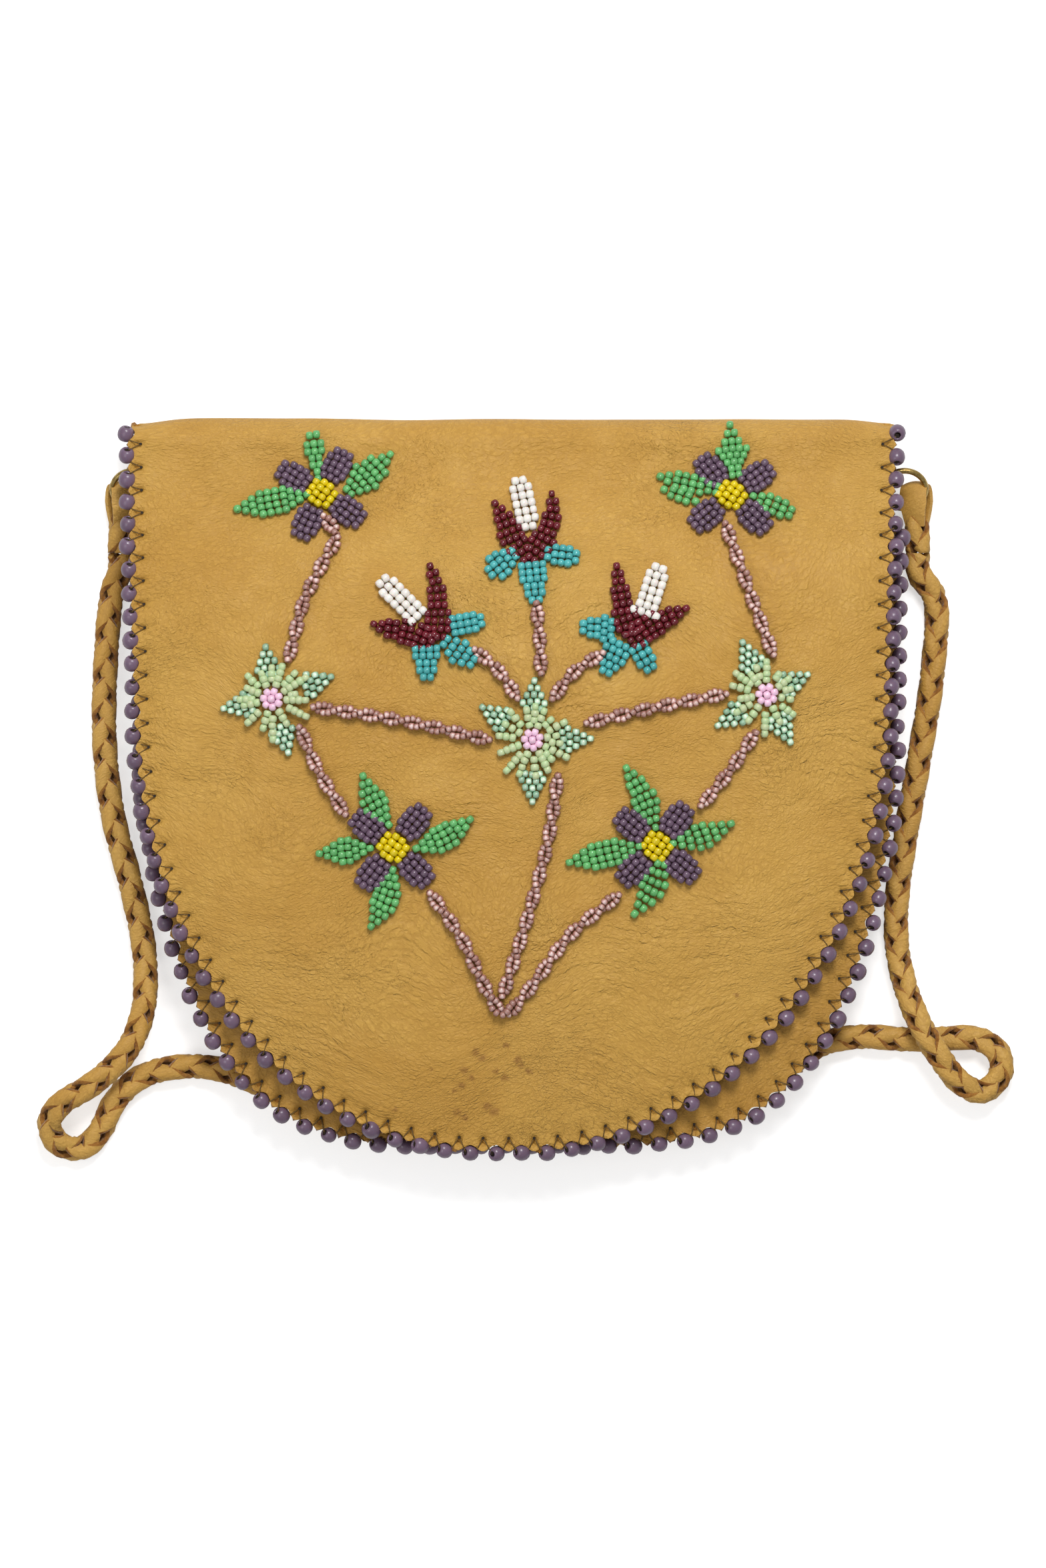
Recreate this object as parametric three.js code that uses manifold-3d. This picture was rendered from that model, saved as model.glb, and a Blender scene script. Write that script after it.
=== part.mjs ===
// A flap-over shoulder bag of soft tan leather with beaded edges, floral beadwork and a braided strap.
// It lies on its back. +Y runs to the top fold, +X to the viewer's right, +Z up out of the flap.
// Lengths are millimetres and angles are degrees.
import * as THREE from "three";
import Module from "manifold-3d";
import { mergeVertices } from "three/addons/utils/BufferGeometryUtils.js";

// Leather and gaps
const LEATHER = 1.6;
const SEAM_GAP = 0.3;
const REST_GAP = 0.5;

// Body of the bag: a front and a back panel, sewn round a U shaped seam
const BODY_WIDTH = 231;
const BODY_BOTTOM = -107;
const BODY_STRAIGHT_END = 2;
const BODY_TAPER = 0.02;
const SEAM_HEIGHT = 15.5;
const SEAM_RISE_SPAN = 30;
const BACK_FLAT_SHARE = 0.25;

// Top fold, where the back panel turns into the flap
const FOLD_Y = 111.2;
const FOLD_DEPTH = 8;
const HINGE_HEIGHT = 6;
const FOLD_HEIGHT = 15;
const MOUTH_BELOW_FOLD = 13.2;
const MOUTH_Y = FOLD_Y - MOUTH_BELOW_FOLD;

// Flap
const FLAP_WIDTH = 232;
const FLAP_BOTTOM = -108.8;
const FLAP_STRAIGHT_END = 18.8;
const FLAP_TAPER = 0.03;
const FLAP_OFFSET_X = -2.2;
const FLAP_SKEW_X = -2.4;
const FLAP_RIM_HEIGHT = 23.8;
const CROWN_HEIGHT = 36;
const RIM_RISE_SPAN = 45;
const CROWN_RISE_SPAN = 75;

// Edge beads, strung round the flap and round the body's seam
const EDGE_BEAD = 4.9;
const EDGE_BEAD_PITCH = 7.4;
const EDGE_THREAD = 1.2;
const EDGE_BEAD_GAP = 0.3;
const BODY_EDGING_BELOW_FOLD = 32.2;
const FLAP_EDGING_BELOW_FOLD = 1.6;

// Beadwork on the flap
const SEED_BEAD = 2.3;
const BEADWORK_GAP = 0.5;
const STEM_BEAD = 1.8;
const STEM_WIDTH = 4.8;
const STEM_TWIST = 9.7;

// Strap and its rings
const STRAP_WIDTH = 7.2;
const STRAP_SIDES = 8;
const STRAP_STEPS = 80;
const RING_RADIUS = 6.5;
const RING_WIRE = 1.8;
const RING_TILT = 58;
const RING_BELOW_FOLD = 20.7;
const RING_Y = FOLD_Y - RING_BELOW_FOLD;
const RING_HEIGHT = 7.4;
const RING_MARGIN = 3;
const HOLE_CLEARANCE = 0.35;
const STRAP_END_LENGTH = 15;
const STRAP_END_WIDTH = 5.2;
const STRAP_END_WALL = 1.5;

const tan = { color: 0xc89c46, roughness: 0.72, metalness: 0 };
const darkTan = { color: 0xb0833a, roughness: 0.78, metalness: 0 };
const purple = { color: 0x82678a, roughness: 0.3, metalness: 0 };
const plum = { color: 0x624e69, roughness: 0.35, metalness: 0 };
const yellow = { color: 0xdecd0f, roughness: 0.35, metalness: 0 };
const green = { color: 0x5fbc7d, roughness: 0.35, metalness: 0 };
const maroon = { color: 0x5c1220, roughness: 0.25, metalness: 0 };
const white = { color: 0xf0ebe4, roughness: 0.35, metalness: 0 };
const turquoise = { color: 0x4eb9b2, roughness: 0.35, metalness: 0 };
const paleGreen = { color: 0xb6c898, roughness: 0.35, metalness: 0 };
const pink = { color: 0xf0bce1, roughness: 0.35, metalness: 0 };
const mauve = { color: 0x966464, roughness: 0.15, metalness: 0 };
const brass = { color: 0xa08a50, roughness: 0.3, metalness: 1 };

const wasm = await Module();
wasm.setup();
const bag = new THREE.Group();

function add(name, geometry, finish) {
  const mesh = new THREE.Mesh(geometry, new THREE.MeshStandardMaterial(finish));
  mesh.name = name;
  bag.add(mesh);
  return mesh;
}

function smooth(t) {
  const s = Math.min(Math.max(t, 0), 1);
  return s * s * (3 - 2 * s);
}

function radians(degrees) {
  return (degrees * Math.PI) / 180;
}

// Outlines. Half the width of each piece at a height y, inset from the line of its edge beads.
const LAST_ROW_SHARE = 0.997;

class Outline {
  constructor(width, bottom, straightEnd, taper, powerY, powerX) {
    Object.assign(this, { width, bottom, straightEnd, taper, powerY, powerX });
  }

  drop(y, inset = 0) {
    const reach = this.straightEnd - this.bottom - inset;
    return Math.min(Math.max((this.straightEnd - y) / reach, 0), LAST_ROW_SHARE);
  }

  half(y, inset = 0) {
    const straight = this.width / 2 - inset - this.taper * (FOLD_Y - y);
    return straight * (1 - this.drop(y, inset) ** this.powerY) ** (1 / this.powerX);
  }

  // Heights from the top edge to the bottom, closer together where the outline turns in.
  rows(top, inset, straightRows, roundRows) {
    const heights = [];
    for (let i = 0; i < straightRows; i += 1) {
      heights.push(top + ((this.straightEnd - top) * i) / straightRows);
    }
    const reach = (this.straightEnd - this.bottom - inset) * LAST_ROW_SHARE;
    for (let i = 0; i <= roundRows; i += 1) {
      heights.push(this.straightEnd - reach * Math.sin((i / roundRows) * (Math.PI / 2)));
    }
    return heights;
  }
}

const body = new Outline(BODY_WIDTH, BODY_BOTTOM, BODY_STRAIGHT_END, BODY_TAPER, 1.515, 4.57);
const flap = new Outline(FLAP_WIDTH, FLAP_BOTTOM, FLAP_STRAIGHT_END, FLAP_TAPER, 1.96, 2.21);
const LEATHER_INSET = EDGE_BEAD / 2 + EDGE_BEAD_GAP;
const FOLD_START = FOLD_Y - FOLD_DEPTH;

function flapCentre(y) {
  return FLAP_OFFSET_X + FLAP_SKEW_X * flap.drop(y) ** 2;
}

// Heights of the surfaces
function seamHeight(y) {
  const top = LEATHER + SEAM_GAP / 2;
  return top + (SEAM_HEIGHT - top) * smooth((FOLD_START - y) / SEAM_RISE_SPAN);
}

function flapRimHeight(y) {
  if (y > FOLD_START) {
    const t = Math.min((y - FOLD_START) / FOLD_DEPTH, 1);
    return HINGE_HEIGHT + (FOLD_HEIGHT - HINGE_HEIGHT) * Math.sqrt(1 - t * t);
  }
  return FOLD_HEIGHT + (FLAP_RIM_HEIGHT - FOLD_HEIGHT) * smooth((FOLD_START - y) / RIM_RISE_SPAN);
}

function flapRise(y) {
  return (CROWN_HEIGHT - FLAP_RIM_HEIGHT) * smooth((FOLD_START - y) / CROWN_RISE_SPAN);
}

function flapTop(x, y) {
  const across = Math.min(Math.abs(x - flapCentre(y)) / flap.half(y), 1);
  const fullness = (1 - across ** 2.4) * (1 - flap.drop(y) ** 3);
  return flapRimHeight(y) + flapRise(y) * fullness;
}

function frontTop(x, y) {
  const rim = seamHeight(y) + SEAM_GAP / 2 + LEATHER;
  const crown = flapRimHeight(y) + flapRise(y) - LEATHER - REST_GAP;
  const across = Math.min(Math.abs(x) / body.half(y, LEATHER_INSET), 1);
  return rim + (crown - rim) * (1 - across ** 2) * (1 - body.drop(y, LEATHER_INSET) ** 2);
}

function backUnder(x, y) {
  const across = Math.min(Math.abs(x) / body.half(y, LEATHER_INSET), 1);
  const outward = 1 - (1 - across ** 2) * (1 - body.drop(y, LEATHER_INSET) ** 2);
  const rise = Math.max((outward - BACK_FLAT_SHARE) / (1 - BACK_FLAT_SHARE), 0);
  return (seamHeight(y) - SEAM_GAP / 2 - LEATHER) * rise ** 1.1;
}

// Meshes
function meshGeometry(points, triangles) {
  const geometry = new THREE.BufferGeometry();
  geometry.setAttribute("position", new THREE.Float32BufferAttribute(points.flat(), 3));
  geometry.setIndex(triangles.flat());
  geometry.computeVertexNormals();
  return geometry;
}

// A closed skin between two grids of points, the upper one seen from above with rows running down.
function sheetBetween(upper, lower) {
  const rows = upper.length;
  const columns = upper[0].length;
  const points = [...upper.flat(), ...lower.flat()];
  const at = (side, i, j) => side * rows * columns + i * columns + j;
  const triangles = [];
  const quad = (a, b, c, d) => triangles.push([a, b, c], [a, c, d]);
  for (let i = 0; i < rows - 1; i += 1) {
    for (let j = 0; j < columns - 1; j += 1) {
      quad(at(0, i, j), at(0, i + 1, j), at(0, i + 1, j + 1), at(0, i, j + 1));
      quad(at(1, i, j), at(1, i, j + 1), at(1, i + 1, j + 1), at(1, i + 1, j));
    }
    quad(at(0, i, 0), at(1, i, 0), at(1, i + 1, 0), at(0, i + 1, 0));
    const last = columns - 1;
    quad(at(0, i, last), at(0, i + 1, last), at(1, i + 1, last), at(1, i, last));
  }
  for (let j = 0; j < columns - 1; j += 1) {
    quad(at(0, 0, j), at(0, 0, j + 1), at(1, 0, j + 1), at(1, 0, j));
    const last = rows - 1;
    quad(at(0, last, j), at(1, last, j), at(1, last, j + 1), at(0, last, j + 1));
  }
  return meshGeometry(points, triangles);
}

// Shares of the half width, closer together towards the edges.
function spread(columns) {
  return Array.from({ length: columns + 1 }, (_, j) => Math.sin((j / columns - 0.5) * Math.PI));
}

const PANEL_COLUMNS = 12;
const across = spread(PANEL_COLUMNS);

function rowOf(y, half, centre, height) {
  return across.map((q) => [centre + q * half, y, height(centre + q * half, y)]);
}

function foldRow(angle, half, centre, depth, rise) {
  const y = FOLD_START + depth * Math.cos(angle);
  const z = HINGE_HEIGHT + rise * Math.sin(angle);
  return across.map((q) => [centre + q * half, y, z]);
}

const FOLD_STEPS = 4;

function backPanel() {
  const half = body.half(FOLD_START, LEATHER_INSET);
  const upper = [];
  const lower = [];
  const start = -Math.asin(SEAM_GAP / 2 / HINGE_HEIGHT);
  for (let i = 0; i < FOLD_STEPS; i += 1) {
    const angle = start + ((-Math.PI / 2 - start) * i) / FOLD_STEPS;
    lower.push(foldRow(angle, half, 0, FOLD_DEPTH, HINGE_HEIGHT));
    upper.push(foldRow(angle, half, 0, FOLD_DEPTH - LEATHER, HINGE_HEIGHT - LEATHER));
  }
  for (const y of [FOLD_START, ...body.rows(MOUTH_Y, LEATHER_INSET, 7, 9)]) {
    const width = body.half(y, LEATHER_INSET);
    lower.push(rowOf(y, width, 0, backUnder));
    upper.push(rowOf(y, width, 0, (x, v) => backUnder(x, v) + LEATHER));
  }
  return sheetBetween(upper, lower);
}

function frontPanel() {
  const upper = [];
  const lower = [];
  for (const y of body.rows(MOUTH_Y, LEATHER_INSET, 7, 9)) {
    const width = body.half(y, LEATHER_INSET);
    upper.push(rowOf(y, width, 0, frontTop));
    lower.push(rowOf(y, width, 0, (x, v) => frontTop(x, v) - LEATHER));
  }
  return sheetBetween(upper, lower);
}

function flapPanel() {
  const half = flap.half(FOLD_START, LEATHER_INSET);
  const upper = [];
  const lower = [];
  const rise = FOLD_HEIGHT - HINGE_HEIGHT;
  const start = Math.asin(SEAM_GAP / 2 / rise);
  for (let i = 0; i < FOLD_STEPS; i += 1) {
    const angle = start + ((Math.PI / 2 - start) * i) / FOLD_STEPS;
    upper.push(foldRow(angle, half, FLAP_OFFSET_X, FOLD_DEPTH, rise));
    lower.push(foldRow(angle, half, FLAP_OFFSET_X, FOLD_DEPTH - LEATHER, rise - LEATHER));
  }
  for (const y of flap.rows(FOLD_START, LEATHER_INSET, 11, 10)) {
    const width = flap.half(y, LEATHER_INSET);
    upper.push(rowOf(y, width, flapCentre(y), flapTop));
    lower.push(rowOf(y, width, flapCentre(y), (x, v) => flapTop(x, v) - LEATHER));
  }
  return sheetBetween(upper, lower);
}

// A closed bar swept along stations, each with its own centre, side, up and cross section.
function sweep(stations) {
  const sides = stations[0].section.length;
  const points = [];
  for (const { centre, side, up, section } of stations) {
    for (const [u, v] of section) {
      const p = centre.clone().addScaledVector(side, u).addScaledVector(up, v);
      points.push(p.toArray());
    }
  }
  const first = points.length;
  points.push(stations[0].centre.toArray(), stations[stations.length - 1].centre.toArray());
  const triangles = [];
  const end = (stations.length - 1) * sides;
  for (let k = 0; k < sides; k += 1) {
    const next = (k + 1) % sides;
    for (let i = 0; i < stations.length - 1; i += 1) {
      const a = i * sides;
      triangles.push([a + k, a + next, a + sides + next], [a + k, a + sides + next, a + sides + k]);
    }
    triangles.push([first, next, k], [first + 1, end + k, end + next]);
  }
  return meshGeometry(points, triangles);
}

// A ring of points round the direction of travel: side to the right of travel, up towards the eye.
function oval(sides, halfWidth, halfHeight, lift = 0) {
  return Array.from({ length: sides }, (_, k) => {
    const angle = (k / sides) * 2 * Math.PI;
    return [halfWidth * Math.cos(angle), lift + halfHeight * Math.sin(angle)];
  });
}

function axesAlong(tangent, upright) {
  const side = new THREE.Vector3().crossVectors(upright, tangent).normalize();
  const up = new THREE.Vector3().crossVectors(tangent, side).normalize();
  return { side, up };
}

// One string of edge beads: full rings at each bead and a thread between them.
const BEAD_SIDES = 6;
const BEAD_SHAPE = [
  [-0.5, 0],
  [-0.22, 1],
  [0.22, 1],
];

function beadString(points) {
  const curve = new THREE.CatmullRomCurve3(points);
  const length = curve.getLength();
  const count = Math.round(length / EDGE_BEAD_PITCH);
  const stations = [];
  const upright = new THREE.Vector3(0, 0, 1);
  const place = (t, fullness) => {
    const centre = curve.getPointAt(t);
    const radius = (EDGE_THREAD + (EDGE_BEAD - EDGE_THREAD) * fullness) / 2;
    const frame = axesAlong(curve.getTangentAt(t), upright);
    stations.push({ centre, ...frame, section: oval(BEAD_SIDES, radius, radius) });
  };
  for (let i = 0; i < count; i += 1) {
    BEAD_SHAPE.forEach(([shift, fullness]) => place((i + 0.5 + shift) / count, fullness));
  }
  place(1, 0);
  return sweep(stations);
}

function edgeLine(outline, top, centre, height) {
  const left = outline.rows(top, 0, 8, 14).map((y) => {
    return new THREE.Vector3(centre(y) - outline.half(y), y, height(y));
  });
  const right = left.map((p) => new THREE.Vector3(2 * centre(p.y) - p.x, p.y, p.z));
  return [...left, ...right.reverse()];
}

// Beadwork. Flat patches that follow the flap's outer face, with the same gap all over.
// The design is drawn for a flap of this width with its fold at this height, and grows with the flap.
const DESIGN_WIDTH = 232;
const DESIGN_FOLD_Y = 111.2;
const DESIGN_SCALE = FLAP_WIDTH / DESIGN_WIDTH;

function onFlap(designX, designY, lift) {
  const x = designX * DESIGN_SCALE;
  const y = FOLD_Y + (designY - DESIGN_FOLD_Y) * DESIGN_SCALE;
  const step = 0.2;
  const reach = Math.min(y, FOLD_Y - 1);
  const slopeX = (flapTop(x + step, reach) - flapTop(x - step, reach)) / (2 * step);
  const slopeY = (flapTop(x, reach + step) - flapTop(x, reach - step)) / (2 * step);
  const normal = new THREE.Vector3(-slopeX, -slopeY, 1).normalize();
  return new THREE.Vector3(x, y, flapTop(x, y)).addScaledVector(normal, lift);
}

function patch(outline, hole = []) {
  const toVector = ([x, y]) => new THREE.Vector2(x, y);
  const contour = outline.map(toVector);
  const inner = hole.map(toVector);
  if (THREE.ShapeUtils.isClockWise(contour)) contour.reverse();
  if (inner.length && !THREE.ShapeUtils.isClockWise(inner)) inner.reverse();
  const faces = THREE.ShapeUtils.triangulateShape(contour, inner.length ? [inner] : []);
  const flat = [...contour, ...inner];
  const top = flat.map((p) => onFlap(p.x, p.y, BEADWORK_GAP + SEED_BEAD).toArray());
  const bottom = flat.map((p) => onFlap(p.x, p.y, BEADWORK_GAP).toArray());
  const size = flat.length;
  const triangles = [];
  for (const [a, b, c] of faces) {
    triangles.push([a, b, c], [a + size, c + size, b + size]);
  }
  const wall = (start, count) => {
    for (let k = 0; k < count; k += 1) {
      const a = start + k;
      const b = start + ((k + 1) % count);
      triangles.push([a, a + size, b + size], [a, b + size, b]);
    }
  };
  wall(0, contour.length);
  if (inner.length) wall(contour.length, inner.length);
  return meshGeometry([...top, ...bottom], triangles);
}

// A strip of beadwork between its right and its left edge, which have equally many points.
function band(right, left) {
  const raised = (lift) => right.map((p, i) => [p, left[i]].map(([x, y]) => onFlap(x, y, lift).toArray()));
  return sheetBetween(raised(BEADWORK_GAP + SEED_BEAD), raised(BEADWORK_GAP));
}

function polar(centre, radius, degrees) {
  const angle = radians(degrees);
  return [centre[0] + radius * Math.cos(angle), centre[1] + radius * Math.sin(angle)];
}

function circle(centre, radius, count) {
  return Array.from({ length: count }, (_, k) => polar(centre, radius, (360 * k) / count));
}

// Distance from the flower's middle and half width there, from a petal's root to its end.
const PETAL = [
  [5.3, 2.1],
  [8.2, 3.1],
  [12, 4],
  [14.4, 3.3],
  [15.1, 1.6],
];
const FLOWER_MIDDLE = 4.2;
const FLOWER_HOLE = FLOWER_MIDDLE + SEAM_GAP;

function petals(centre, angles) {
  const outline = [];
  for (const angle of [...angles].sort((a, b) => a - b)) {
    const at = (radius, offset) => {
      const [x, y] = polar(centre, radius, angle);
      const side = radians(angle + 90);
      return [x + offset * Math.cos(side), y + offset * Math.sin(side)];
    };
    PETAL.forEach(([radius, half]) => outline.push(at(radius, -half)));
    [...PETAL].reverse().forEach(([radius, half]) => outline.push(at(radius, half)));
  }
  return patch(outline, circle(centre, FLOWER_HOLE, 10));
}

const LEAF_NECK = 0.8;
const LEAF_STEPS = 6;

function leaf([root, tip, width, bow = 0]) {
  const direction = new THREE.Vector2(tip[0] - root[0], tip[1] - root[1]);
  const length = direction.length();
  direction.normalize();
  const left = [];
  const right = [];
  for (let i = 0; i <= LEAF_STEPS; i += 1) {
    const u = i / LEAF_STEPS;
    const half = LEAF_NECK + (width / 2 - LEAF_NECK) * Math.sin(Math.PI * u ** 1.3);
    const bend = bow * Math.sin(Math.PI * u);
    const x = root[0] + direction.x * length * u;
    const y = root[1] + direction.y * length * u;
    left.push([x - direction.y * (bend + half), y + direction.x * (bend + half)]);
    right.push([x - direction.y * (bend - half), y + direction.x * (bend - half)]);
  }
  return band(right, left);
}

// Flowers: the middle, the petals' directions, and each leaf's root, tip, width and bow.
const FLOWERS = {
  upper_left: {
    centre: [-59.2, 88.4],
    petals: [148, 62, -35, -115],
    leaves: [
      [[-60.6, 95.2], [-62.3, 106.4], 6.2],
      [[-66.2, 87.2], [-85.2, 84.0], 6.8],
      [[-53.0, 91.2], [-37.4, 101.2], 7.6],
    ],
  },
  upper_right: {
    centre: [63.5, 87.9],
    petals: [130, 36, -45, -140],
    leaves: [
      [[64.6, 94.8], [63.4, 108.8], 8.2],
      [[70.6, 87.8], [82.4, 82.4], 5.2],
      [[56.6, 88.6], [41.8, 93.0], 8.0],
    ],
  },
  lower_left: {
    centre: [-37.4, -16.9],
    petals: [141, 50, -45, -128],
    leaves: [
      [[-38.6, -10.2], [-46.8, 4.9], 5.8, 0.8],
      [[-30.4, -17.2], [-13.8, -8.6], 6.2, -1],
      [[-44.2, -17.2], [-60.0, -18.9], 5.4],
      [[-37.4, -23.6], [-44.2, -41.2], 5.8, 1],
    ],
  },
  lower_right: {
    centre: [40.9, -16.6],
    petals: [139.5, 53, -39, -135],
    leaves: [
      [[40.2, -9.6], [31.4, 7.3], 5.8, -0.8],
      [[33.8, -17.0], [14.1, -21.6], 5.8],
      [[47.8, -15.4], [63.8, -9.6], 5.8, -0.8],
      [[41.6, -23.4], [33.9, -37.5], 5.8, 1],
    ],
  },
};

function addFlower(name, { centre, petals: angles, leaves }) {
  add(`flower_${name}_petals`, petals(centre, angles), plum);
  add(`flower_${name}_middle`, patch(circle(centre, FLOWER_MIDDLE, 10)), yellow);
  leaves.forEach((shape, i) => add(`flower_${name}_leaf_${i + 1}`, leaf(shape), green));
}

// Buds, in their own frame: x along the bud from its base to the stamen's end, y to the left.
const BUDS = {
  left: { base: [-27.5, 44.2], lean: 124.5, arms: [[13.4, 10.6], [17.6, -12.6]], reach: [0.55, 1.05] },
  middle: { base: [5.0, 71.3], lean: 101.5, arms: [[16.2, 8.9], [15.6, -9.1]], reach: [0.85, 0.62] },
  right: { base: [33.5, 45.3], lean: 65.6, arms: [[17.5, 12.0], [14.6, -11.3]], reach: [1.05, 0.72] },
};
const STAMEN = { start: 7.2, end: 23.4, half: 3.3 };

function budOutline(base, lean, points) {
  const angle = radians(lean);
  const [c, s] = [Math.cos(angle), Math.sin(angle)];
  return points.map(([x, y]) => [base[0] + x * c - y * s, base[1] + x * s + y * c]);
}

// One side of a cup: its outer edge and the inner edge round the stamen, from the arm's tip to the base.
function cupSide([tipX, tipY], sign) {
  const notch = STAMEN.half + SEAM_GAP + 0.1;
  const floor = STAMEN.start - SEAM_GAP - 0.1;
  const reach = Math.abs(tipY);
  const outer = [[tipX, reach + 0.7], [0.6 * tipX, 0.86 * reach], [5, 0.66 * reach], [0.5, 5.5], [-1, 2.5]];
  const inner = [[tipX + 1, reach - 0.8], [0.72 * tipX, 0.5 * reach], [floor + 1.3, notch], [floor, notch]];
  inner.push([floor, 1.3]);
  return [outer, inner].map((edge) => edge.map(([x, y]) => [x, sign * y]));
}

function sepalSide(reach, sign) {
  return [
    [-1.6, 0],
    [-1.5, 2.2],
    [-0.2, 5.9],
    [-0.2, 5.9 + 6.6 * reach],
    [-3.4, 5.9 + 8 * reach],
    [-6, 5.9 + 5.8 * reach],
    [-6, 3.4],
    [-9.5, 3.6],
    [-13.2, 2.2],
  ].map(([x, y]) => [x, sign * y]);
}

function addBud(name, { base, lean, arms, reach }) {
  const leftCup = cupSide(arms[0], 1);
  const rightCup = cupSide(arms[1], -1);
  const edges = [0, 1].map((e) => budOutline(base, lean, [...leftCup[e], ...rightCup[e].reverse()]));
  add(`bud_${name}_cup`, band(...edges), maroon);
  const leftSepal = sepalSide(reach[0], 1);
  const rightSepal = sepalSide(reach[1], -1).slice(1);
  const sepals = budOutline(base, lean, [...leftSepal, ...rightSepal.reverse()]);
  add(`bud_${name}_sepals`, patch(sepals), turquoise);
  const { start, end, half } = STAMEN;
  const bar = [[start, half], [end - 1, half], [end, 1.6], [end, -1.6], [end - 1, -half], [start, -half]];
  add(`bud_${name}_stamen`, patch(budOutline(base, lean, bar)), white);
}

// Rosettes: short rays round a pink middle, with four small leaves among them.
const ROSETTE_RAYS = 16;
const ROSETTE = { middle: 3.4, notch: 5.8, ray: 9.2, leaf: 17, leafHalf: 12 };
const ROSETTES = {
  left: { centre: [-73.4, 27.2], leaves: [97, 20, 190, -73] },
  middle: { centre: [3.9, 14.8], leaves: [149, 89, 1, -88] },
  right: { centre: [73.5, 28.4], leaves: [117, 29, 213, -60] },
};

function addRosette(name, { centre, leaves }) {
  const step = 360 / ROSETTE_RAYS;
  const first = leaves[0];
  const outline = [];
  const nearest = (angle) => {
    const gaps = leaves.map((a) => Math.abs(((a - angle + 540) % 360) - 180));
    return Math.min(...gaps) < step / 2;
  };
  for (let k = 0; k < ROSETTE_RAYS; k += 1) {
    const angle = first + k * step;
    if (nearest(angle)) {
      outline.push(polar(centre, 8.4, angle - 7), polar(centre, ROSETTE.leafHalf, angle - 12));
      outline.push(polar(centre, ROSETTE.leaf, angle), polar(centre, ROSETTE.leafHalf, angle + 12));
      outline.push(polar(centre, 8.4, angle + 7));
    } else {
      outline.push(polar(centre, ROSETTE.ray, angle - 6), polar(centre, ROSETTE.ray, angle + 6));
    }
    outline.push(polar(centre, ROSETTE.notch, angle + step / 2));
  }
  const hole = circle(centre, ROSETTE.middle + SEAM_GAP + 0.1, 10);
  add(`rosette_${name}_rays`, patch(outline, hole), paleGreen);
  add(`rosette_${name}_middle`, patch(circle(centre, ROSETTE.middle, 8)), pink);
}

// Stems: two strands of small beads twisted round each other, narrow and high where they cross.
const STEM_SIDES = 6;
const STEMS = {
  upper_left: [[-56.9, 76.4], [-61.8, 58], [-68.0, 38.8]],
  upper_right: [[61.6, 78.8], [68.2, 60], [75.6, 40.2]],
  rosette_left: [[-61.0, 24.8], [-34, 20.6], [-8.8, 15.0]],
  rosette_right: [[20.0, 20.0], [40, 24.6], [61.4, 28.8]],
  bud_left: [[-13.2, 41.6], [-5.6, 35], [-0.4, 27.4]],
  bud_middle: [[4.9, 56.6], [6.1, 45], [6.6, 36.0]],
  bud_right: [[24.9, 40.6], [16.2, 35], [9.9, 27.2]],
  lower_left: [[-65.2, 18.8], [-59, 5], [-51.4, -7.2]],
  lower_right: [[70.2, 17.2], [62, 5.2], [53.9, -4.6]],
  root_middle: [[11.6, 4.4], [8.8, -14], [2.4, -38], [-4.9, -61.0]],
  root: [[-26.4, -30.4], [-17, -44], [-9.2, -60], [-4.4, -66.4], [2.2, -60], [15, -43], [29.6, -31.0]],
};

function addStem(name, points) {
  const flat = new THREE.CatmullRomCurve3(points.map(([x, y]) => new THREE.Vector3(x, y, 0)));
  const length = flat.getLength() * DESIGN_SCALE;
  const crossings = Math.max(Math.round(length / STEM_TWIST), 1);
  const stepsPerTwist = 2;
  const stations = [];
  for (let i = 0; i <= crossings * stepsPerTwist; i += 1) {
    const t = i / (crossings * stepsPerTwist);
    const open = i % stepsPerTwist;
    const p = flat.getPointAt(t);
    const halfWidth = open ? STEM_WIDTH / 2 : STEM_BEAD * 0.6;
    const halfHeight = open ? STEM_BEAD / 2 : STEM_BEAD * 0.8;
    const centre = onFlap(p.x, p.y, BEADWORK_GAP + STEM_BEAD * 0.8);
    const upright = onFlap(p.x, p.y, 1).sub(onFlap(p.x, p.y, 0));
    const frame = axesAlong(flat.getTangentAt(t), upright);
    stations.push({ centre, ...frame, section: oval(STEM_SIDES, halfWidth, halfHeight) });
  }
  add(`stem_${name}`, sweep(stations), mauve);
}

// Strap rings: each passes through a hole near the top of the side seam.
function ringPoint(side, angle) {
  const tilt = radians(RING_TILT);
  const centreX = body.half(RING_Y, LEATHER_INSET) - RING_MARGIN + RING_RADIUS;
  const a = radians(angle);
  return new THREE.Vector3(
    side * (centreX + RING_RADIUS * Math.cos(a)),
    RING_Y + RING_RADIUS * Math.sin(a) * Math.sin(tilt),
    RING_HEIGHT + RING_RADIUS * Math.sin(a) * Math.cos(tilt),
  );
}

function ringGeometry(side, wire, steps, sides) {
  const geometry = new THREE.TorusGeometry(RING_RADIUS, wire / 2, sides, steps);
  geometry.rotateX(Math.PI / 2 - radians(RING_TILT));
  const centre = ringPoint(side, 0).add(ringPoint(side, 180)).multiplyScalar(0.5);
  geometry.translate(centre.x, centre.y, centre.z);
  return closed(geometry);
}

function closed(geometry) {
  geometry.deleteAttribute("normal");
  geometry.deleteAttribute("uv");
  return mergeVertices(geometry, 1e-4);
}

function solidOf(geometry) {
  const merged = closed(geometry.clone());
  return new wasm.Manifold(
    new wasm.Mesh({
      numProp: 3,
      vertProperties: new Float32Array(merged.attributes.position.array),
      triVerts: new Uint32Array(merged.index.array),
    }),
  );
}

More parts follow.
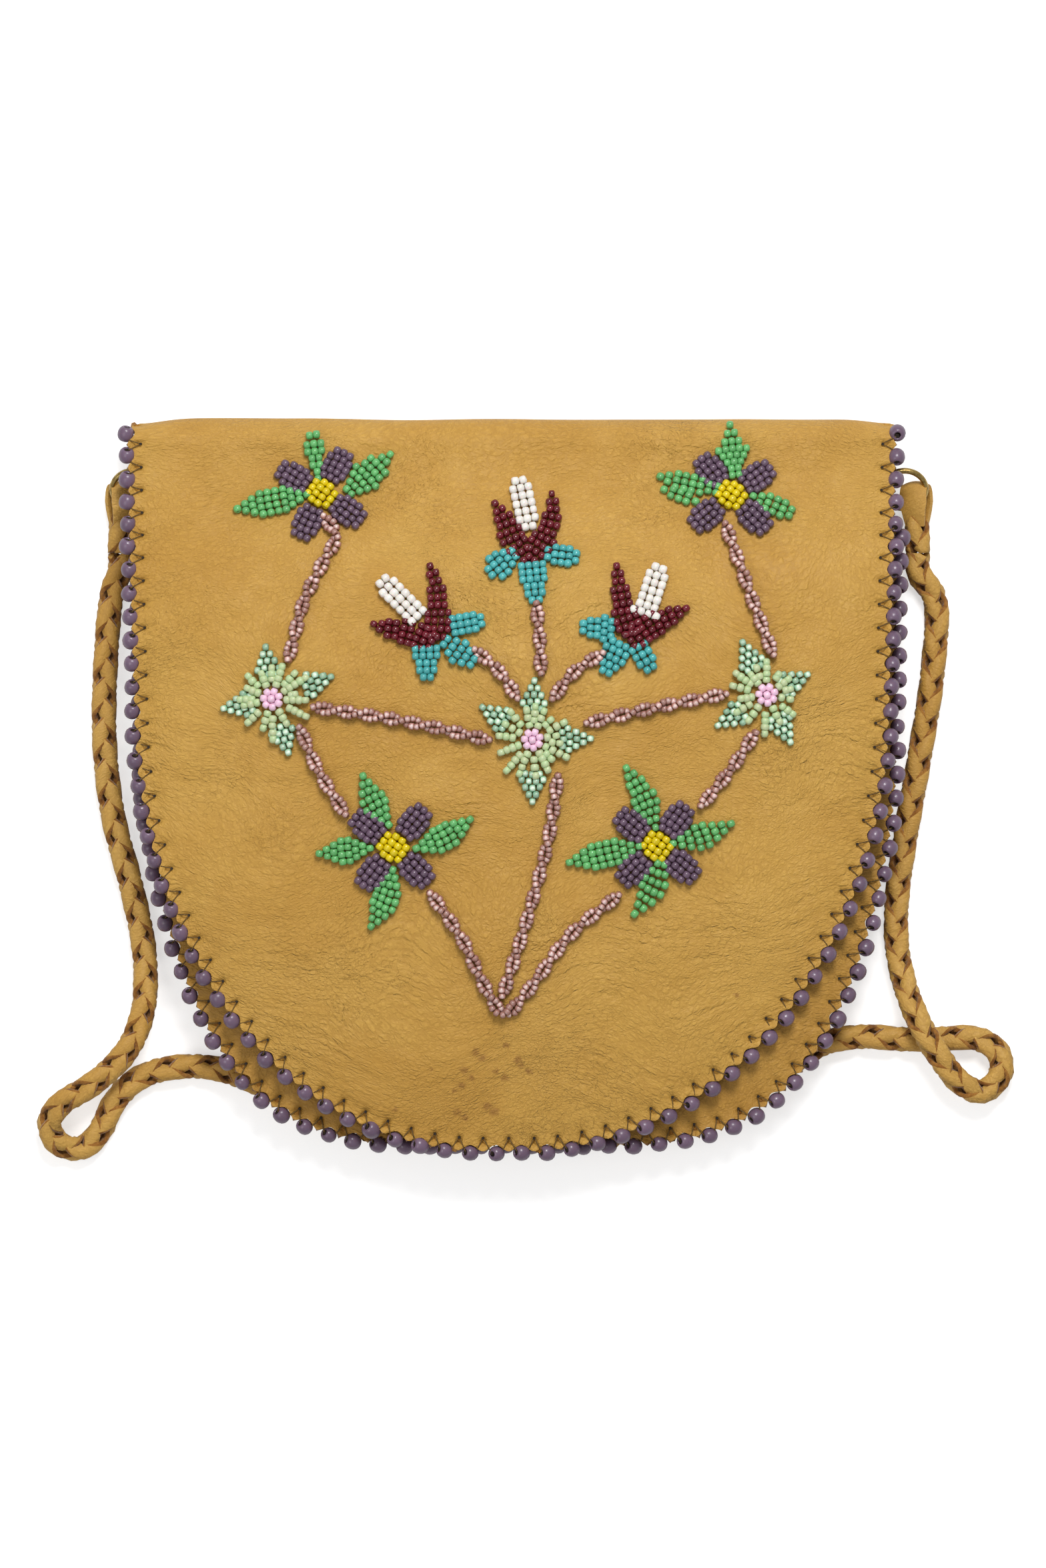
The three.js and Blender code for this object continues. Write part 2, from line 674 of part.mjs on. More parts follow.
function geometryOf(solid) {
  const mesh = solid.getMesh();
  const geometry = new THREE.BufferGeometry();
  geometry.setAttribute("position", new THREE.BufferAttribute(mesh.vertProperties, 3));
  geometry.setIndex(new THREE.BufferAttribute(mesh.triVerts, 1));
  return geometry;
}

function withRingHoles(geometry) {
  let solid = solidOf(geometry);
  for (const side of [-1, 1]) {
    solid = solid.subtract(solidOf(ringGeometry(side, RING_WIRE + 2 * HOLE_CLEARANCE, 20, 8)));
  }
  return geometryOf(solid);
}

// Strap ends: a leather loop round the lower arc of each ring. The strap runs on from it.
const STRAP_ON_RING = -48;
const STRAP_END_ARC = 42;
const RING_SAG = RING_RADIUS * (1 - Math.cos(radians(STRAP_END_ARC)));
const RING_REACH = 2.7;
const STRAP_LEAN = { left: [-0.03, -1, -0.03], right: [0.03, -1, -0.03] };

function strapEndFrame(side, lean) {
  const along = new THREE.Vector3(...lean).normalize();
  const ends = [-1, 1].map((sign) => ringPoint(side, STRAP_ON_RING + sign * STRAP_END_ARC));
  const cross = ends[1].clone().sub(ends[0]);
  cross.addScaledVector(along, -cross.dot(along)).normalize();
  const up = new THREE.Vector3().crossVectors(cross, along).normalize();
  const origin = ends[0].add(ends[1]).multiplyScalar(0.5).add(ringPoint(side, STRAP_ON_RING));
  return { along, up, origin: origin.multiplyScalar(0.5) };
}

// A bar with one round end that reaches past the wire, cut off square at the other end.
function strapEndBar(half, reach, length, width) {
  const shape = new THREE.Shape();
  shape.moveTo(length, half);
  shape.lineTo(0, half);
  shape.absarc(-reach, 0, half, Math.PI / 2, (3 * Math.PI) / 2, false);
  shape.lineTo(length, -half);
  const bar = new THREE.ExtrudeGeometry(shape, { depth: width, bevelEnabled: false, curveSegments: 6 });
  return bar.translate(0, 0, -width / 2);
}

function strapEnd(side, lean) {
  const { along, up, origin } = strapEndFrame(side, lean);
  const slot = (RING_WIRE + RING_SAG) / 2 + SEAM_GAP;
  const outside = strapEndBar(slot + STRAP_END_WALL, RING_REACH, STRAP_END_LENGTH, STRAP_END_WIDTH);
  const inside = strapEndBar(slot, RING_REACH, RING_REACH + slot, STRAP_END_WIDTH + 2);
  const geometry = geometryOf(solidOf(outside).subtract(solidOf(inside)));
  const turn = new THREE.Matrix4().makeBasis(along, up, new THREE.Vector3().crossVectors(along, up));
  return geometry.applyMatrix4(turn.setPosition(origin));
}

// The strap: down the left side, a loop, behind the lower edge, a loop, and up the right side.
const FLOOR_LIFT = 0.3;
const STRAP_REST = STRAP_WIDTH / 2 + FLOOR_LIFT;
const STRAP_HUMP = STRAP_REST + STRAP_WIDTH + 0.6;

const STRAP_ROUTE = [
  [-122.4, 60, STRAP_REST],
  [-124.4, 40, STRAP_REST],
  [-124.8, 14, STRAP_REST],
  [-122.2, -8, STRAP_REST],
  [-117.0, -28, STRAP_REST],
  [-113.2, -46, STRAP_REST],
  [-112.4, -58, STRAP_REST + 1.8],
  [-113.4, -68, STRAP_REST + 5.6],
  [-117.4, -77.6, STRAP_HUMP],
  [-123.6, -84.6, STRAP_HUMP],
  [-130.4, -89.8, STRAP_HUMP],
  [-137.4, -94.0, STRAP_HUMP - 1.4],
  [-141.3, -100.0, STRAP_REST + 4],
  [-138.6, -106.4, STRAP_REST + 1.4],
  [-131.8, -107.8, STRAP_REST],
  [-126.4, -103.0, STRAP_REST],
  [-122.2, -94.4, STRAP_REST],
  [-115.6, -87.4, STRAP_REST],
  [-106.0, -83.8, STRAP_REST],
  [-92.4, -83.6, STRAP_REST],
  [-78.0, -88.4, STRAP_REST],
  [-60.0, -95.4, STRAP_REST],
  [-30.0, -98.2, STRAP_REST],
  [0, -98.4, STRAP_REST],
  [30.0, -98.0, STRAP_REST],
  [60.0, -93.8, STRAP_REST],
  [78.4, -84.4, STRAP_REST],
  [92.4, -76.0, STRAP_REST],
  [104.0, -74.2, STRAP_REST],
  [116.0, -75.0, STRAP_REST],
  [128.0, -74.8, STRAP_REST],
  [138.0, -74.8, STRAP_REST],
  [144.4, -79.0, STRAP_REST + 0.6],
  [144.8, -85.8, STRAP_REST + 1.8],
  [139.6, -90.6, STRAP_REST + 3.4],
  [133.0, -88.2, STRAP_REST + 5.6],
  [128.0, -82.4, STRAP_HUMP - 0.6],
  [123.2, -75.2, STRAP_HUMP],
  [119.0, -67.0, STRAP_HUMP - 0.8],
  [115.8, -57.6, STRAP_REST + 4],
  [113.8, -47.0, STRAP_REST + 1.2],
  [113.8, -33.0, STRAP_REST],
  [116.4, -14, STRAP_REST],
  [120.6, 10, STRAP_REST],
  [124.6, 36, STRAP_REST],
  [125.2, 58, STRAP_REST],
];

function strapExit(side, lean) {
  const { along, origin } = strapEndFrame(side, lean);
  return [0, 6].map((more) => origin.clone().addScaledVector(along, STRAP_END_LENGTH + SEAM_GAP + more));
}

function strap() {
  const start = strapExit(-1, STRAP_LEAN.left);
  const end = strapExit(1, STRAP_LEAN.right).reverse();
  const middle = STRAP_ROUTE.map((p) => new THREE.Vector3(...p));
  const route = new THREE.CatmullRomCurve3([...start, ...middle, ...end], false, "centripetal");
  const section = new THREE.Shape();
  section.setFromPoints(circle([0, 0], STRAP_WIDTH / 2, STRAP_SIDES).map(([x, y]) => new THREE.Vector2(x, y)));
  return new THREE.ExtrudeGeometry(section, { steps: STRAP_STEPS, extrudePath: route, bevelEnabled: false });
}

// The bag, piece by piece
const bodyEdge = edgeLine(body, FOLD_Y - BODY_EDGING_BELOW_FOLD, () => 0, seamHeight);
const flapEdge = edgeLine(flap, FOLD_Y - FLAP_EDGING_BELOW_FOLD, flapCentre, (y) => flapRimHeight(y) - LEATHER / 2);

add("back_panel", withRingHoles(backPanel()), tan);
add("front_panel", withRingHoles(frontPanel()), tan);
add("flap", flapPanel(), tan);
add("body_bead_edging", beadString(bodyEdge), purple);
add("flap_bead_edging", beadString(flapEdge), purple);
add("strap_ring_left", ringGeometry(-1, RING_WIRE, 20, 8), brass);
add("strap_ring_right", ringGeometry(1, RING_WIRE, 20, 8), brass);
add("strap_end_left", strapEnd(-1, STRAP_LEAN.left), darkTan);
add("strap_end_right", strapEnd(1, STRAP_LEAN.right), darkTan);
add("strap", strap(), darkTan);
Object.entries(FLOWERS).forEach(([name, shape]) => addFlower(name, shape));
Object.entries(BUDS).forEach(([name, shape]) => addBud(name, shape));
Object.entries(ROSETTES).forEach(([name, shape]) => addRosette(name, shape));
Object.entries(STEMS).forEach(([name, points]) => addStem(name, points));

export default bag;
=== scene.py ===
"""A beaded shoulder bag of soft tan leather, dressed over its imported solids.

All shapes are worked out in millimetres and are made metres when a piece is finished.
"""
import logging
import math
import random
from dataclasses import dataclass, field
from enum import Enum
from typing import Callable, ClassVar, Iterable, Sequence

import bmesh
import bpy
import numpy as np
from mathutils import Matrix, Vector, noise


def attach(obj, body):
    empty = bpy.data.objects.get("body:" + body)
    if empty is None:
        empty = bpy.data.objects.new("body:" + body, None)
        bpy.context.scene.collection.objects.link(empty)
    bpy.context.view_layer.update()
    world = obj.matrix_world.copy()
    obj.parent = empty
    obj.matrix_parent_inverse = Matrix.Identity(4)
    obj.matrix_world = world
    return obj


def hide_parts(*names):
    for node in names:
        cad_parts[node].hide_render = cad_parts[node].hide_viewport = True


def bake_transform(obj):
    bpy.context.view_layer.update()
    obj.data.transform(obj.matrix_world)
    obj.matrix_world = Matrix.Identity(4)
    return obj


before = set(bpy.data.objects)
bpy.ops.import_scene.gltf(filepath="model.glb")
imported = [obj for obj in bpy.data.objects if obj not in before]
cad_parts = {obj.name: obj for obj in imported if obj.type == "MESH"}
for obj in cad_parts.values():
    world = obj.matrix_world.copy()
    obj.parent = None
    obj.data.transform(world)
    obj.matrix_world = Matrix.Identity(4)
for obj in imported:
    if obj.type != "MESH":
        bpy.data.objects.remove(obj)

LOG = logging.getLogger("bag")
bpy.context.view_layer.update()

MM = 0.001
SEED = 11
SHARP_ANGLE = math.radians(50)

Point2 = tuple[float, float]
Point3 = tuple[float, float, float]
Array = np.ndarray
Colour = tuple[int, int, int]
Socket = bpy.types.NodeSocket
Heights = Callable[[Array, Array], Array]

# Sizes that the solids have, in millimetres
LEATHER = 1.6
SEAM_GAP = 0.3
REST_GAP = 0.5
FOLD_Y = 111.2
FOLD_DEPTH = 8.0
FOLD_START = FOLD_Y - FOLD_DEPTH
HINGE_HEIGHT = 6.0
FOLD_HEIGHT = 15.0
SEAM_HEIGHT = 15.5
SEAM_RISE_SPAN = 30.0
MOUTH_Y = 98.0
BACK_FLAT_SHARE = 0.25
FLAP_OFFSET_X = -2.2
FLAP_SKEW_X = -2.4
FLAP_RIM_HEIGHT = 23.8
CROWN_HEIGHT = 36.0
RIM_RISE_SPAN = 45.0
CROWN_RISE_SPAN = 75.0
EDGE_BEAD = 4.8
LEATHER_INSET = 2.75
STRAP_WIDTH = 7.2
RING_RADIUS = 6.5
RING_WIRE = 1.8
RING_TILT = 58.0
RING_Y = 90.5
RING_HEIGHT = 7.4


class Body(str, Enum):
    """The two bodies that the flap's hinge joins."""

    BAG = "bag"
    FLAP = "flap"


class Side(Enum):
    """A side of the bag, seen from above."""

    LEFT = -1
    RIGHT = 1


def srgb(red: int, green: int, blue: int) -> tuple[float, float, float, float]:
    """Turn a colour of 0 to 255 steps into the linear colour that a shader takes.

    Args:
        red: Red, 0 to 255.
        green: Green, 0 to 255.
        blue: Blue, 0 to 255.

    Returns:
        The linear colour with an alpha of 1.
    """
    steps = [value / 255 for value in (red, green, blue)]
    linear = [v / 12.92 if v <= 0.04045 else ((v + 0.055) / 1.055) ** 2.4 for v in steps]
    return (linear[0], linear[1], linear[2], 1.0)


# Materials


class Shader:
    """A material under construction, with short ways to add and join its nodes."""

    def __init__(self, name: str) -> None:
        """Start an empty material that has only its output.

        Args:
            name: The material's name.
        """
        self.material = bpy.data.materials.new(name)
        self.material.use_nodes = True
        self.tree = self.material.node_tree
        self.tree.nodes.clear()
        self.output = self.tree.nodes.new("ShaderNodeOutputMaterial")

    def add(self, kind: str, settings: dict | None = None, **inputs: object) -> bpy.types.Node:
        """Add a node.

        Args:
            kind: The node's type, without its ShaderNode prefix.
            settings: The node's own properties.
            **inputs: Its sockets by name, with _ for a space, or by i and a number. A socket is
                joined, and a value is set.

        Returns:
            The new node.
        """
        node = self.tree.nodes.new("ShaderNode" + kind)
        for key, value in (settings or {}).items():
            setattr(node, key, value)
        for key, value in inputs.items():
            index = int(key[1:]) if key[0] == "i" and key[1:].isdigit() else key.replace("_", " ")
            socket = node.inputs[index]
            if isinstance(value, Socket):
                self.tree.links.new(value, socket)
            else:
                socket.default_value = value
        return node

    def millimetres(self, stretch: Point3 = (1.0, 1.0, 1.0)) -> Socket:
        """Give object coordinates in millimetres.

        Args:
            stretch: How much finer a pattern becomes along each axis.

        Returns:
            The vector socket.
        """
        place = self.add("TexCoord").outputs["Object"]
        scale = tuple(value / MM for value in stretch)
        return self.add("Mapping", Vector=place, Scale=scale).outputs["Vector"]

    def math(self, operation: str, *values: object, clamp: bool = False) -> Socket:
        """Add a math node.

        Args:
            operation: The node's operation.
            *values: One to three sockets or numbers.
            clamp: Whether the result stays within 0 and 1.

        Returns:
            The result's socket.
        """
        inputs = {f"i{index}": value for index, value in enumerate(values)}
        settings = {"operation": operation, "use_clamp": clamp}
        return self.add("Math", settings, **inputs).outputs[0]

    def vector(self, operation: str, *values: object, **more: object) -> bpy.types.Node:
        """Add a vector math node.

        Args:
            operation: The node's operation.
            *values: One or two sockets or vectors.
            **more: Its other sockets by name.

        Returns:
            The new node.
        """
        inputs = {f"i{index}": value for index, value in enumerate(values)}
        return self.add("VectorMath", {"operation": operation}, **inputs, **more)

    def noise(self, vector: Socket, scale: float, detail: float = 3.0,
              distortion: float = 0.0) -> Socket:
        """Add a noise texture.

        Args:
            vector: Where it is read.
            scale: Features to a millimetre.
            detail: Octaves of finer noise.
            distortion: How much the pattern is pulled about.

        Returns:
            The noise's value, from 0 to 1.
        """
        node = self.add("TexNoise", Vector=vector, Scale=scale, Detail=detail, Roughness=0.6,
                        Distortion=distortion)
        return node.outputs["Fac"]

    def span(self, value: object, low: float, high: float, start: float = 0.0,
             end: float = 1.0) -> Socket:
        """Map a range smoothly on another one.

        Args:
            value: The number's socket.
            low: Where the range starts.
            high: Where it ends.
            start: The result at the start.
            end: The result at the end.

        Returns:
            The result's socket.
        """
        settings = {"interpolation_type": "SMOOTHSTEP"}
        inputs = {"Value": value, "From_Min": low, "From_Max": high, "To_Min": start, "To_Max": end}
        return self.add("MapRange", settings, **inputs).outputs["Result"]

    def mix(self, share: object, first: object, second: object,
            blend: str = "MIX") -> Socket:
        """Mix two colours.

        Args:
            share: How much of the second colour shows.
            first: The first colour.
            second: The second colour.
            blend: How they mix.

        Returns:
            The mixed colour's socket.
        """
        settings = {"data_type": "RGBA", "blend_type": blend}
        node = self.add("Mix", settings, i0=share, i6=first, i7=second)
        return node.outputs[2]

    def bump(self, height: object, depth: float, under: object = None,
             strength: float = 1.0, sunk: bool = False) -> Socket:
        """Add relief.

        Args:
            height: The relief, from 0 to 1.
            depth: Its depth in millimetres.
            under: The relief below it, or None.
            strength: How much of it shows.
            sunk: Whether it goes down into the surface.

        Returns:
            The normal's socket.
        """
        inputs = {"Height": height, "Distance": depth * MM, "Strength": strength}
        if under is not None:
            inputs["Normal"] = under
        return self.add("Bump", {"invert": sunk}, **inputs).outputs["Normal"]

    def finish(self, **inputs: object) -> bpy.types.Material:
        """Close the material with a principled shader.

        Args:
            **inputs: The shader's sockets by name.

        Returns:
            The finished material.
        """
        surface = self.add("BsdfPrincipled", **inputs)
        self.tree.links.new(surface.outputs[0], self.output.inputs["Surface"])
        return self.material


@dataclass(frozen=True)
class Finish:
    """What a surface is made of. The material is made once and shared."""

    name: str

    def material(self) -> bpy.types.Material:
        """Return the material, made at its first use."""
        return bpy.data.materials.get(self.name) or self.make()

    def make(self) -> bpy.types.Material:
        """Make the material. Each kind of finish has its own way."""
        raise NotImplementedError


@dataclass(frozen=True)
class Stain:
    """A small brown spot that the hide has taken up."""

    x: float
    y: float
    radius: float


@dataclass(frozen=True)
class HideFinish(Finish):
    """The smooth grain side of a soft hide."""

    light: Colour
    base: Colour
    dark: Colour
    relief: float = 1.0
    stains: tuple[Stain, ...] = ()

    FRAY: ClassVar[float] = 3.4
    STAIN_COLOUR: ClassVar[Colour] = (132, 84, 32)

    def make(self) -> bpy.types.Material:
        """Lay mottled dye, crimped grain, pores, creases and stains over each other, with painted
        shade in the furrows and creases.

        Returns:
            The leather's material.
        """
        shader = Shader(self.name)
        place = shader.millimetres()
        pulled = self.pulled(shader, place)
        cloud = shader.noise(place, 0.02, 3.0, 0.4)
        patch = shader.noise(place, 0.11, 4.0, 0.4)
        fine = shader.noise(place, 2.4, 4.0)
        grain = self.network(shader, pulled, 0.55, 0.3)
        pebble = self.network(shader, pulled, 1.15, 0.34)
        soft = shader.noise(pulled, 0.07, 2.0)
        ridge = self.ridges(shader, pulled, place)
        strong = shader.span(shader.noise(place, 0.045, 3.0), 0.3, 0.7, 0.5, 1.0)
        grain = shader.math("MULTIPLY", grain, strong)
        crease = self.creases(shader, place)
        colour = shader.mix(shader.span(cloud, 0.3, 0.7), srgb(*self.base), srgb(*self.light))
        colour = shader.mix(shader.span(patch, 0.6, 0.35, 0.0, 0.07), colour, srgb(*self.dark))
        colour = shader.mix(shader.span(fine, 0.5, 0.3, 0.0, 0.2), colour, srgb(*self.dark))
        colour = shader.mix(shader.span(fine, 0.5, 0.72, 0.0, 0.16), colour, srgb(*self.light))
        # Painted shade: the colour darkens in the grain's furrows and in the creases.
        lines = shader.math("ADD", shader.math("MULTIPLY", grain, 0.2),
                            shader.math("MULTIPLY", pebble, 0.2))
        lines = shader.math("ADD", lines, shader.math("MULTIPLY", crease, 0.14), clamp=True)
        colour = shader.mix(lines, colour, srgb(*self.dark))
        if self.stains:
            colour = shader.mix(self.spots(shader, patch, fine), colour,
                                srgb(*self.STAIN_COLOUR))
        normal = shader.bump(soft, 1.5, strength=self.relief)
        normal = shader.bump(ridge, 0.3, normal, 0.8 * self.relief)
        normal = shader.bump(crease, 0.2, normal, 0.6 * self.relief, sunk=True)
        normal = shader.bump(grain, 0.2, normal, 0.8 * self.relief, sunk=True)
        normal = shader.bump(pebble, 0.09, normal, 0.8 * self.relief, sunk=True)
        normal = shader.bump(fine, 0.08, normal, 0.6 * self.relief)
        rough = shader.span(patch, 0.3, 0.7, 0.7, 0.56)
        return shader.finish(Base_Color=colour, Roughness=rough, Normal=normal,
                             Sheen_Weight=0.05, Sheen_Roughness=0.5, Specular_IOR_Level=0.4)

    def ridges(self, shader: Shader, pulled: Socket,
               place: Socket) -> Socket:
        """Gather the hide in narrow folds here and there.

        Args:
            shader: The material under construction.
            pulled: Pulled coordinates.
            place: Coordinates in millimetres.

        Returns:
            A value that is 1 on a fold.
        """
        drawn = shader.add("Mapping", Vector=pulled, Scale=(0.5, 1.6, 1.0)).outputs["Vector"]
        value = shader.noise(drawn, 0.085, 2.0, 0.5)
        away = shader.math("ABSOLUTE", shader.math("SUBTRACT", value, 0.5))
        where = shader.span(shader.noise(place, 0.022, 2.0), 0.46, 0.66)
        return shader.math("MULTIPLY", shader.span(away, 0.16, 0.0), where)

    def pulled(self, shader: Shader, place: Socket) -> Socket:
        """Pull coordinates about, so that the grain runs in changing directions.

        Args:
            shader: The material under construction.
            place: Coordinates in millimetres.

        Returns:
            The pulled coordinates.
        """
        wide = shader.add("TexNoise", Vector=place, Scale=0.018, Detail=1.0).outputs["Color"]
        near = shader.add("TexNoise", Vector=place, Scale=0.4, Detail=2.0).outputs["Color"]
        total = place
        for push, reach in ((wide, 46.0), (near, 1.5)):
            scaled = shader.vector("SCALE", push, Scale=reach).outputs[0]
            total = shader.vector("ADD", total, scaled).outputs[0]
        return shader.add("Mapping", Vector=total, Scale=(0.62, 1.15, 1.0)).outputs["Vector"]

    def network(self, shader: Shader, place: Socket, scale: float,
                width: float) -> Socket:
        """Draw the furrows between the grain's cells.

        Args:
            shader: The material under construction.
            place: Where the pattern is read.
            scale: Cells to a millimetre.
            width: Half the width of a furrow, as a share of a cell.

        Returns:
            A value that is 1 in a furrow.
        """
        cells = shader.add("TexVoronoi", {"feature": "DISTANCE_TO_EDGE"}, Vector=place, Scale=scale)
        return shader.span(cells.outputs["Distance"], width, 0.0)

    def creases(self, shader: Shader, place: Socket) -> Socket:
        """Draw the thin creases where the hide has been bent.

        Args:
            shader: The material under construction.
            place: Coordinates in millimetres.

        Returns:
            A value that is 1 in a crease.
        """
        bent = shader.noise(place, 0.16, 3.0, 1.6)
        away = shader.math("ABSOLUTE", shader.math("SUBTRACT", bent, 0.5))
        line = shader.span(away, 0.012, 0.0)
        where = shader.span(shader.noise(place, 0.03, 2.0), 0.5, 0.68)
        return shader.math("MULTIPLY", line, where)

    def spots(self, shader: Shader, patch: Socket,
              fine: Socket) -> Socket:
        """Draw the stains.

        Args:
            shader: The material under construction.
            patch: Not used.
            fine: Noise that breaks them up.

        Returns:
            A value from 0 to about a half, where a stain is.
        """
        flat = shader.millimetres((1.0, 1.0, 0.0))
        ragged = shader.add("TexNoise", Vector=flat, Scale=0.55, Detail=4.0).outputs["Color"]
        push = shader.vector("SUBTRACT", ragged, (0.5, 0.5, 0.5)).outputs[0]
        push = shader.vector("SCALE", push, Scale=self.FRAY).outputs[0]
        moved = shader.vector("ADD", flat, push).outputs[0]
        total: object = 0.0
        for stain in self.stains:
            centre = (stain.x, stain.y, 0.0)
            apart = shader.vector("DISTANCE", moved, centre).outputs["Value"]
            spot = shader.span(apart, stain.radius * 1.5, stain.radius * 0.3)
            total = shader.math("MAXIMUM", total, spot)
        broken = shader.span(fine, 0.3, 0.65, 0.35, 0.75)
        return shader.math("MULTIPLY", total, broken, clamp=True)


@dataclass(frozen=True)
class SuedeFinish(Finish):
    """The flesh side and the cut edges of the hide, with their nap."""

    light: Colour = (190, 138, 62)
    dark: Colour = (128, 78, 24)

    def make(self) -> bpy.types.Material:
        """Lay a short brushed nap over an uneven brown.

        Returns:
            The suede's material.
        """
        shader = Shader(self.name)
        place = shader.millimetres()
        nap = shader.noise(place, 2.6, 4.0, 0.5)
        patch = shader.noise(place, 0.5, 3.0)
        colour = shader.mix(shader.span(patch, 0.3, 0.7), srgb(*self.dark), srgb(*self.light))
        colour = shader.mix(shader.span(nap, 0.55, 0.3, 0.0, 0.5), colour, srgb(*self.dark))
        normal = shader.bump(nap, 0.3, strength=0.8)
        return shader.finish(Base_Color=colour, Roughness=0.92, Normal=normal,
                             Sheen_Weight=0.3, Sheen_Roughness=0.4, Specular_IOR_Level=0.2)


@dataclass(frozen=True)
class BeadFinish(Finish):
    """Glass beads. Each bead has a tone of its own, kept on its mesh."""

    colour: Colour
    spread: float
    other: Colour | None = None
    roughness: float = 0.3
    glow: float = 0.0

    def make(self) -> bpy.types.Material:
        """Vary the glass from bead to bead, and let some light into it.

        Returns:
            The beads' material.
        """
        shader = Shader(self.name)
        tone = shader.add("Attribute", {"attribute_name": "tone"}).outputs["Fac"]
        place = shader.millimetres()
        streak = shader.noise(place, 0.8, 2.0)
        value = shader.span(tone, 0.0, 1.0, 1.0 - self.spread, 1.0 + self.spread)
        colour: object = srgb(*self.colour)
        if self.other:
            share = shader.span(shader.math("ADD", tone, streak), 0.75, 1.25)
            colour = shader.mix(share, srgb(*self.colour), srgb(*self.other))
        tint = shader.add("HueSaturation", Color=colour, Value=value)
        normal = shader.bump(streak, 0.12, strength=0.3)
        rough = shader.span(streak, 0.3, 0.7, self.roughness * 0.8, self.roughness * 1.2)
        return shader.finish(Base_Color=tint.outputs[0], Roughness=rough, Normal=normal,
                             Coat_Weight=0.25, Coat_Roughness=0.16,
                             Subsurface_Weight=self.glow, Subsurface_Scale=0.0006)


@dataclass(frozen=True)
class LinedFinish(Finish):
    """Clear tinted beads with silver-lined holes, the silver shown as a painted highlight on each
    bead's top, over painted shade below.
    """

    glass: Colour = (168, 118, 106)
    shaded_glass: Colour = (122, 76, 66)
    lining_highlight: Colour = (232, 208, 204)

    def make(self) -> bpy.types.Material:
        """Paint the silver of each hole as a highlight along the top of each bead, and painted
        shade on the glass below it.

        Returns:
            The beads' material.
        """
        shader = Shader(self.name)
        tone = shader.add("Attribute", {"attribute_name": "tone"}).outputs["Fac"]
        core = shader.add("Attribute", {"attribute_name": "core"}).outputs["Fac"]
        flick = shader.noise(shader.millimetres(), 1.3, 2.0)
        # Painted shade: the glass darkens towards the lower side of each bead.
        colour = shader.mix(shader.span(core, -0.4, 0.4), srgb(*self.shaded_glass), srgb(*self.glass))
        lit = shader.span(shader.math("ADD", tone, flick), 0.5, 1.25, 0.15, 0.8)
        # Painted highlight: the silver of the hole shows as a bright stripe only along the top of
        # each bead.
        painted_highlight = shader.math("MULTIPLY", shader.span(core, 0.6, 0.96), lit)
        colour = shader.mix(painted_highlight, colour, srgb(*self.lining_highlight))
        value = shader.span(tone, 0.0, 1.0, 0.86, 1.16)
        tint = shader.add("HueSaturation", Color=colour, Value=value)
        rough = shader.span(flick, 0.3, 0.7, 0.22, 0.34)
        return shader.finish(Base_Color=tint.outputs[0], Roughness=rough,
                             Coat_Weight=0.3, Coat_Roughness=0.12,
                             Subsurface_Weight=0.25, Subsurface_Scale=0.0008)


@dataclass(frozen=True)
class ThreadFinish(Finish):
    """Twisted waxed thread."""

    colour: Colour

    def make(self) -> bpy.types.Material:
        """Twist fine light and dark fibres together.

        Returns:
            The thread's material.
        """
        shader = Shader(self.name)
        fibre = shader.noise(shader.millimetres(), 3.0, 2.0, 0.8)
        dark = srgb(*(int(value * 0.62) for value in self.colour))
        colour = shader.mix(shader.span(fibre, 0.35, 0.65), dark, srgb(*self.colour))
        normal = shader.bump(fibre, 0.12, strength=0.7)
        return shader.finish(Base_Color=colour, Roughness=0.62, Normal=normal,
                             Specular_IOR_Level=0.35)


@dataclass(frozen=True)
class BrassFinish(Finish):
    """Brass wire that hands have dulled."""

    colour: Colour = (196, 168, 104)

    def make(self) -> bpy.types.Material:
        """Tarnish polished brass in soft patches.

        Returns:
            The brass material.
        """
        shader = Shader(self.name)
        place = shader.millimetres()
        cloud = shader.noise(place, 0.7, 4.0)
        colour = shader.mix(shader.span(cloud, 0.4, 0.75), srgb(*self.colour), srgb(116, 90, 46))
        rough = shader.span(cloud, 0.3, 0.7, 0.2, 0.42)
        normal = shader.bump(shader.noise(place, 5.0, 2.0), 0.05, strength=0.3)
        return shader.finish(Base_Color=colour, Metallic=1.0, Roughness=rough, Normal=normal)


STAINS = tuple(
    Stain(x, y, radius)
    for x, y, radius in (
        (-13.0, -78.2, 1.3), (-10.9, -79.9, 1.3), (-16.2, -83.4, 1.2), (-14.1, -85.7, 1.0),
        (-17.2, -88.2, 1.1), (-19.0, -89.8, 0.8), (-0.3, -80.3, 1.2), (0.6, -81.9, 0.9),
        (2.8, -84.0, 1.1), (-4.2, -85.6, 1.1), (-7.0, -83.8, 0.7), (-9.5, -94.4, 1.3),
        (-7.5, -96.0, 1.4), (-18.3, -96.2, 1.2), (-16.2, -97.7, 1.0), (-37.1, -95.4, 1.0),
        (-26.4, -83.4, 0.6), (-3.8, -76.0, 0.8), (65.1, -61.2, 0.8),
    )
)

FLAP_HIDE = HideFinish("flap_hide", light=(209, 164, 76), base=(198, 150, 63), dark=(150, 104, 34),
                       stains=STAINS)
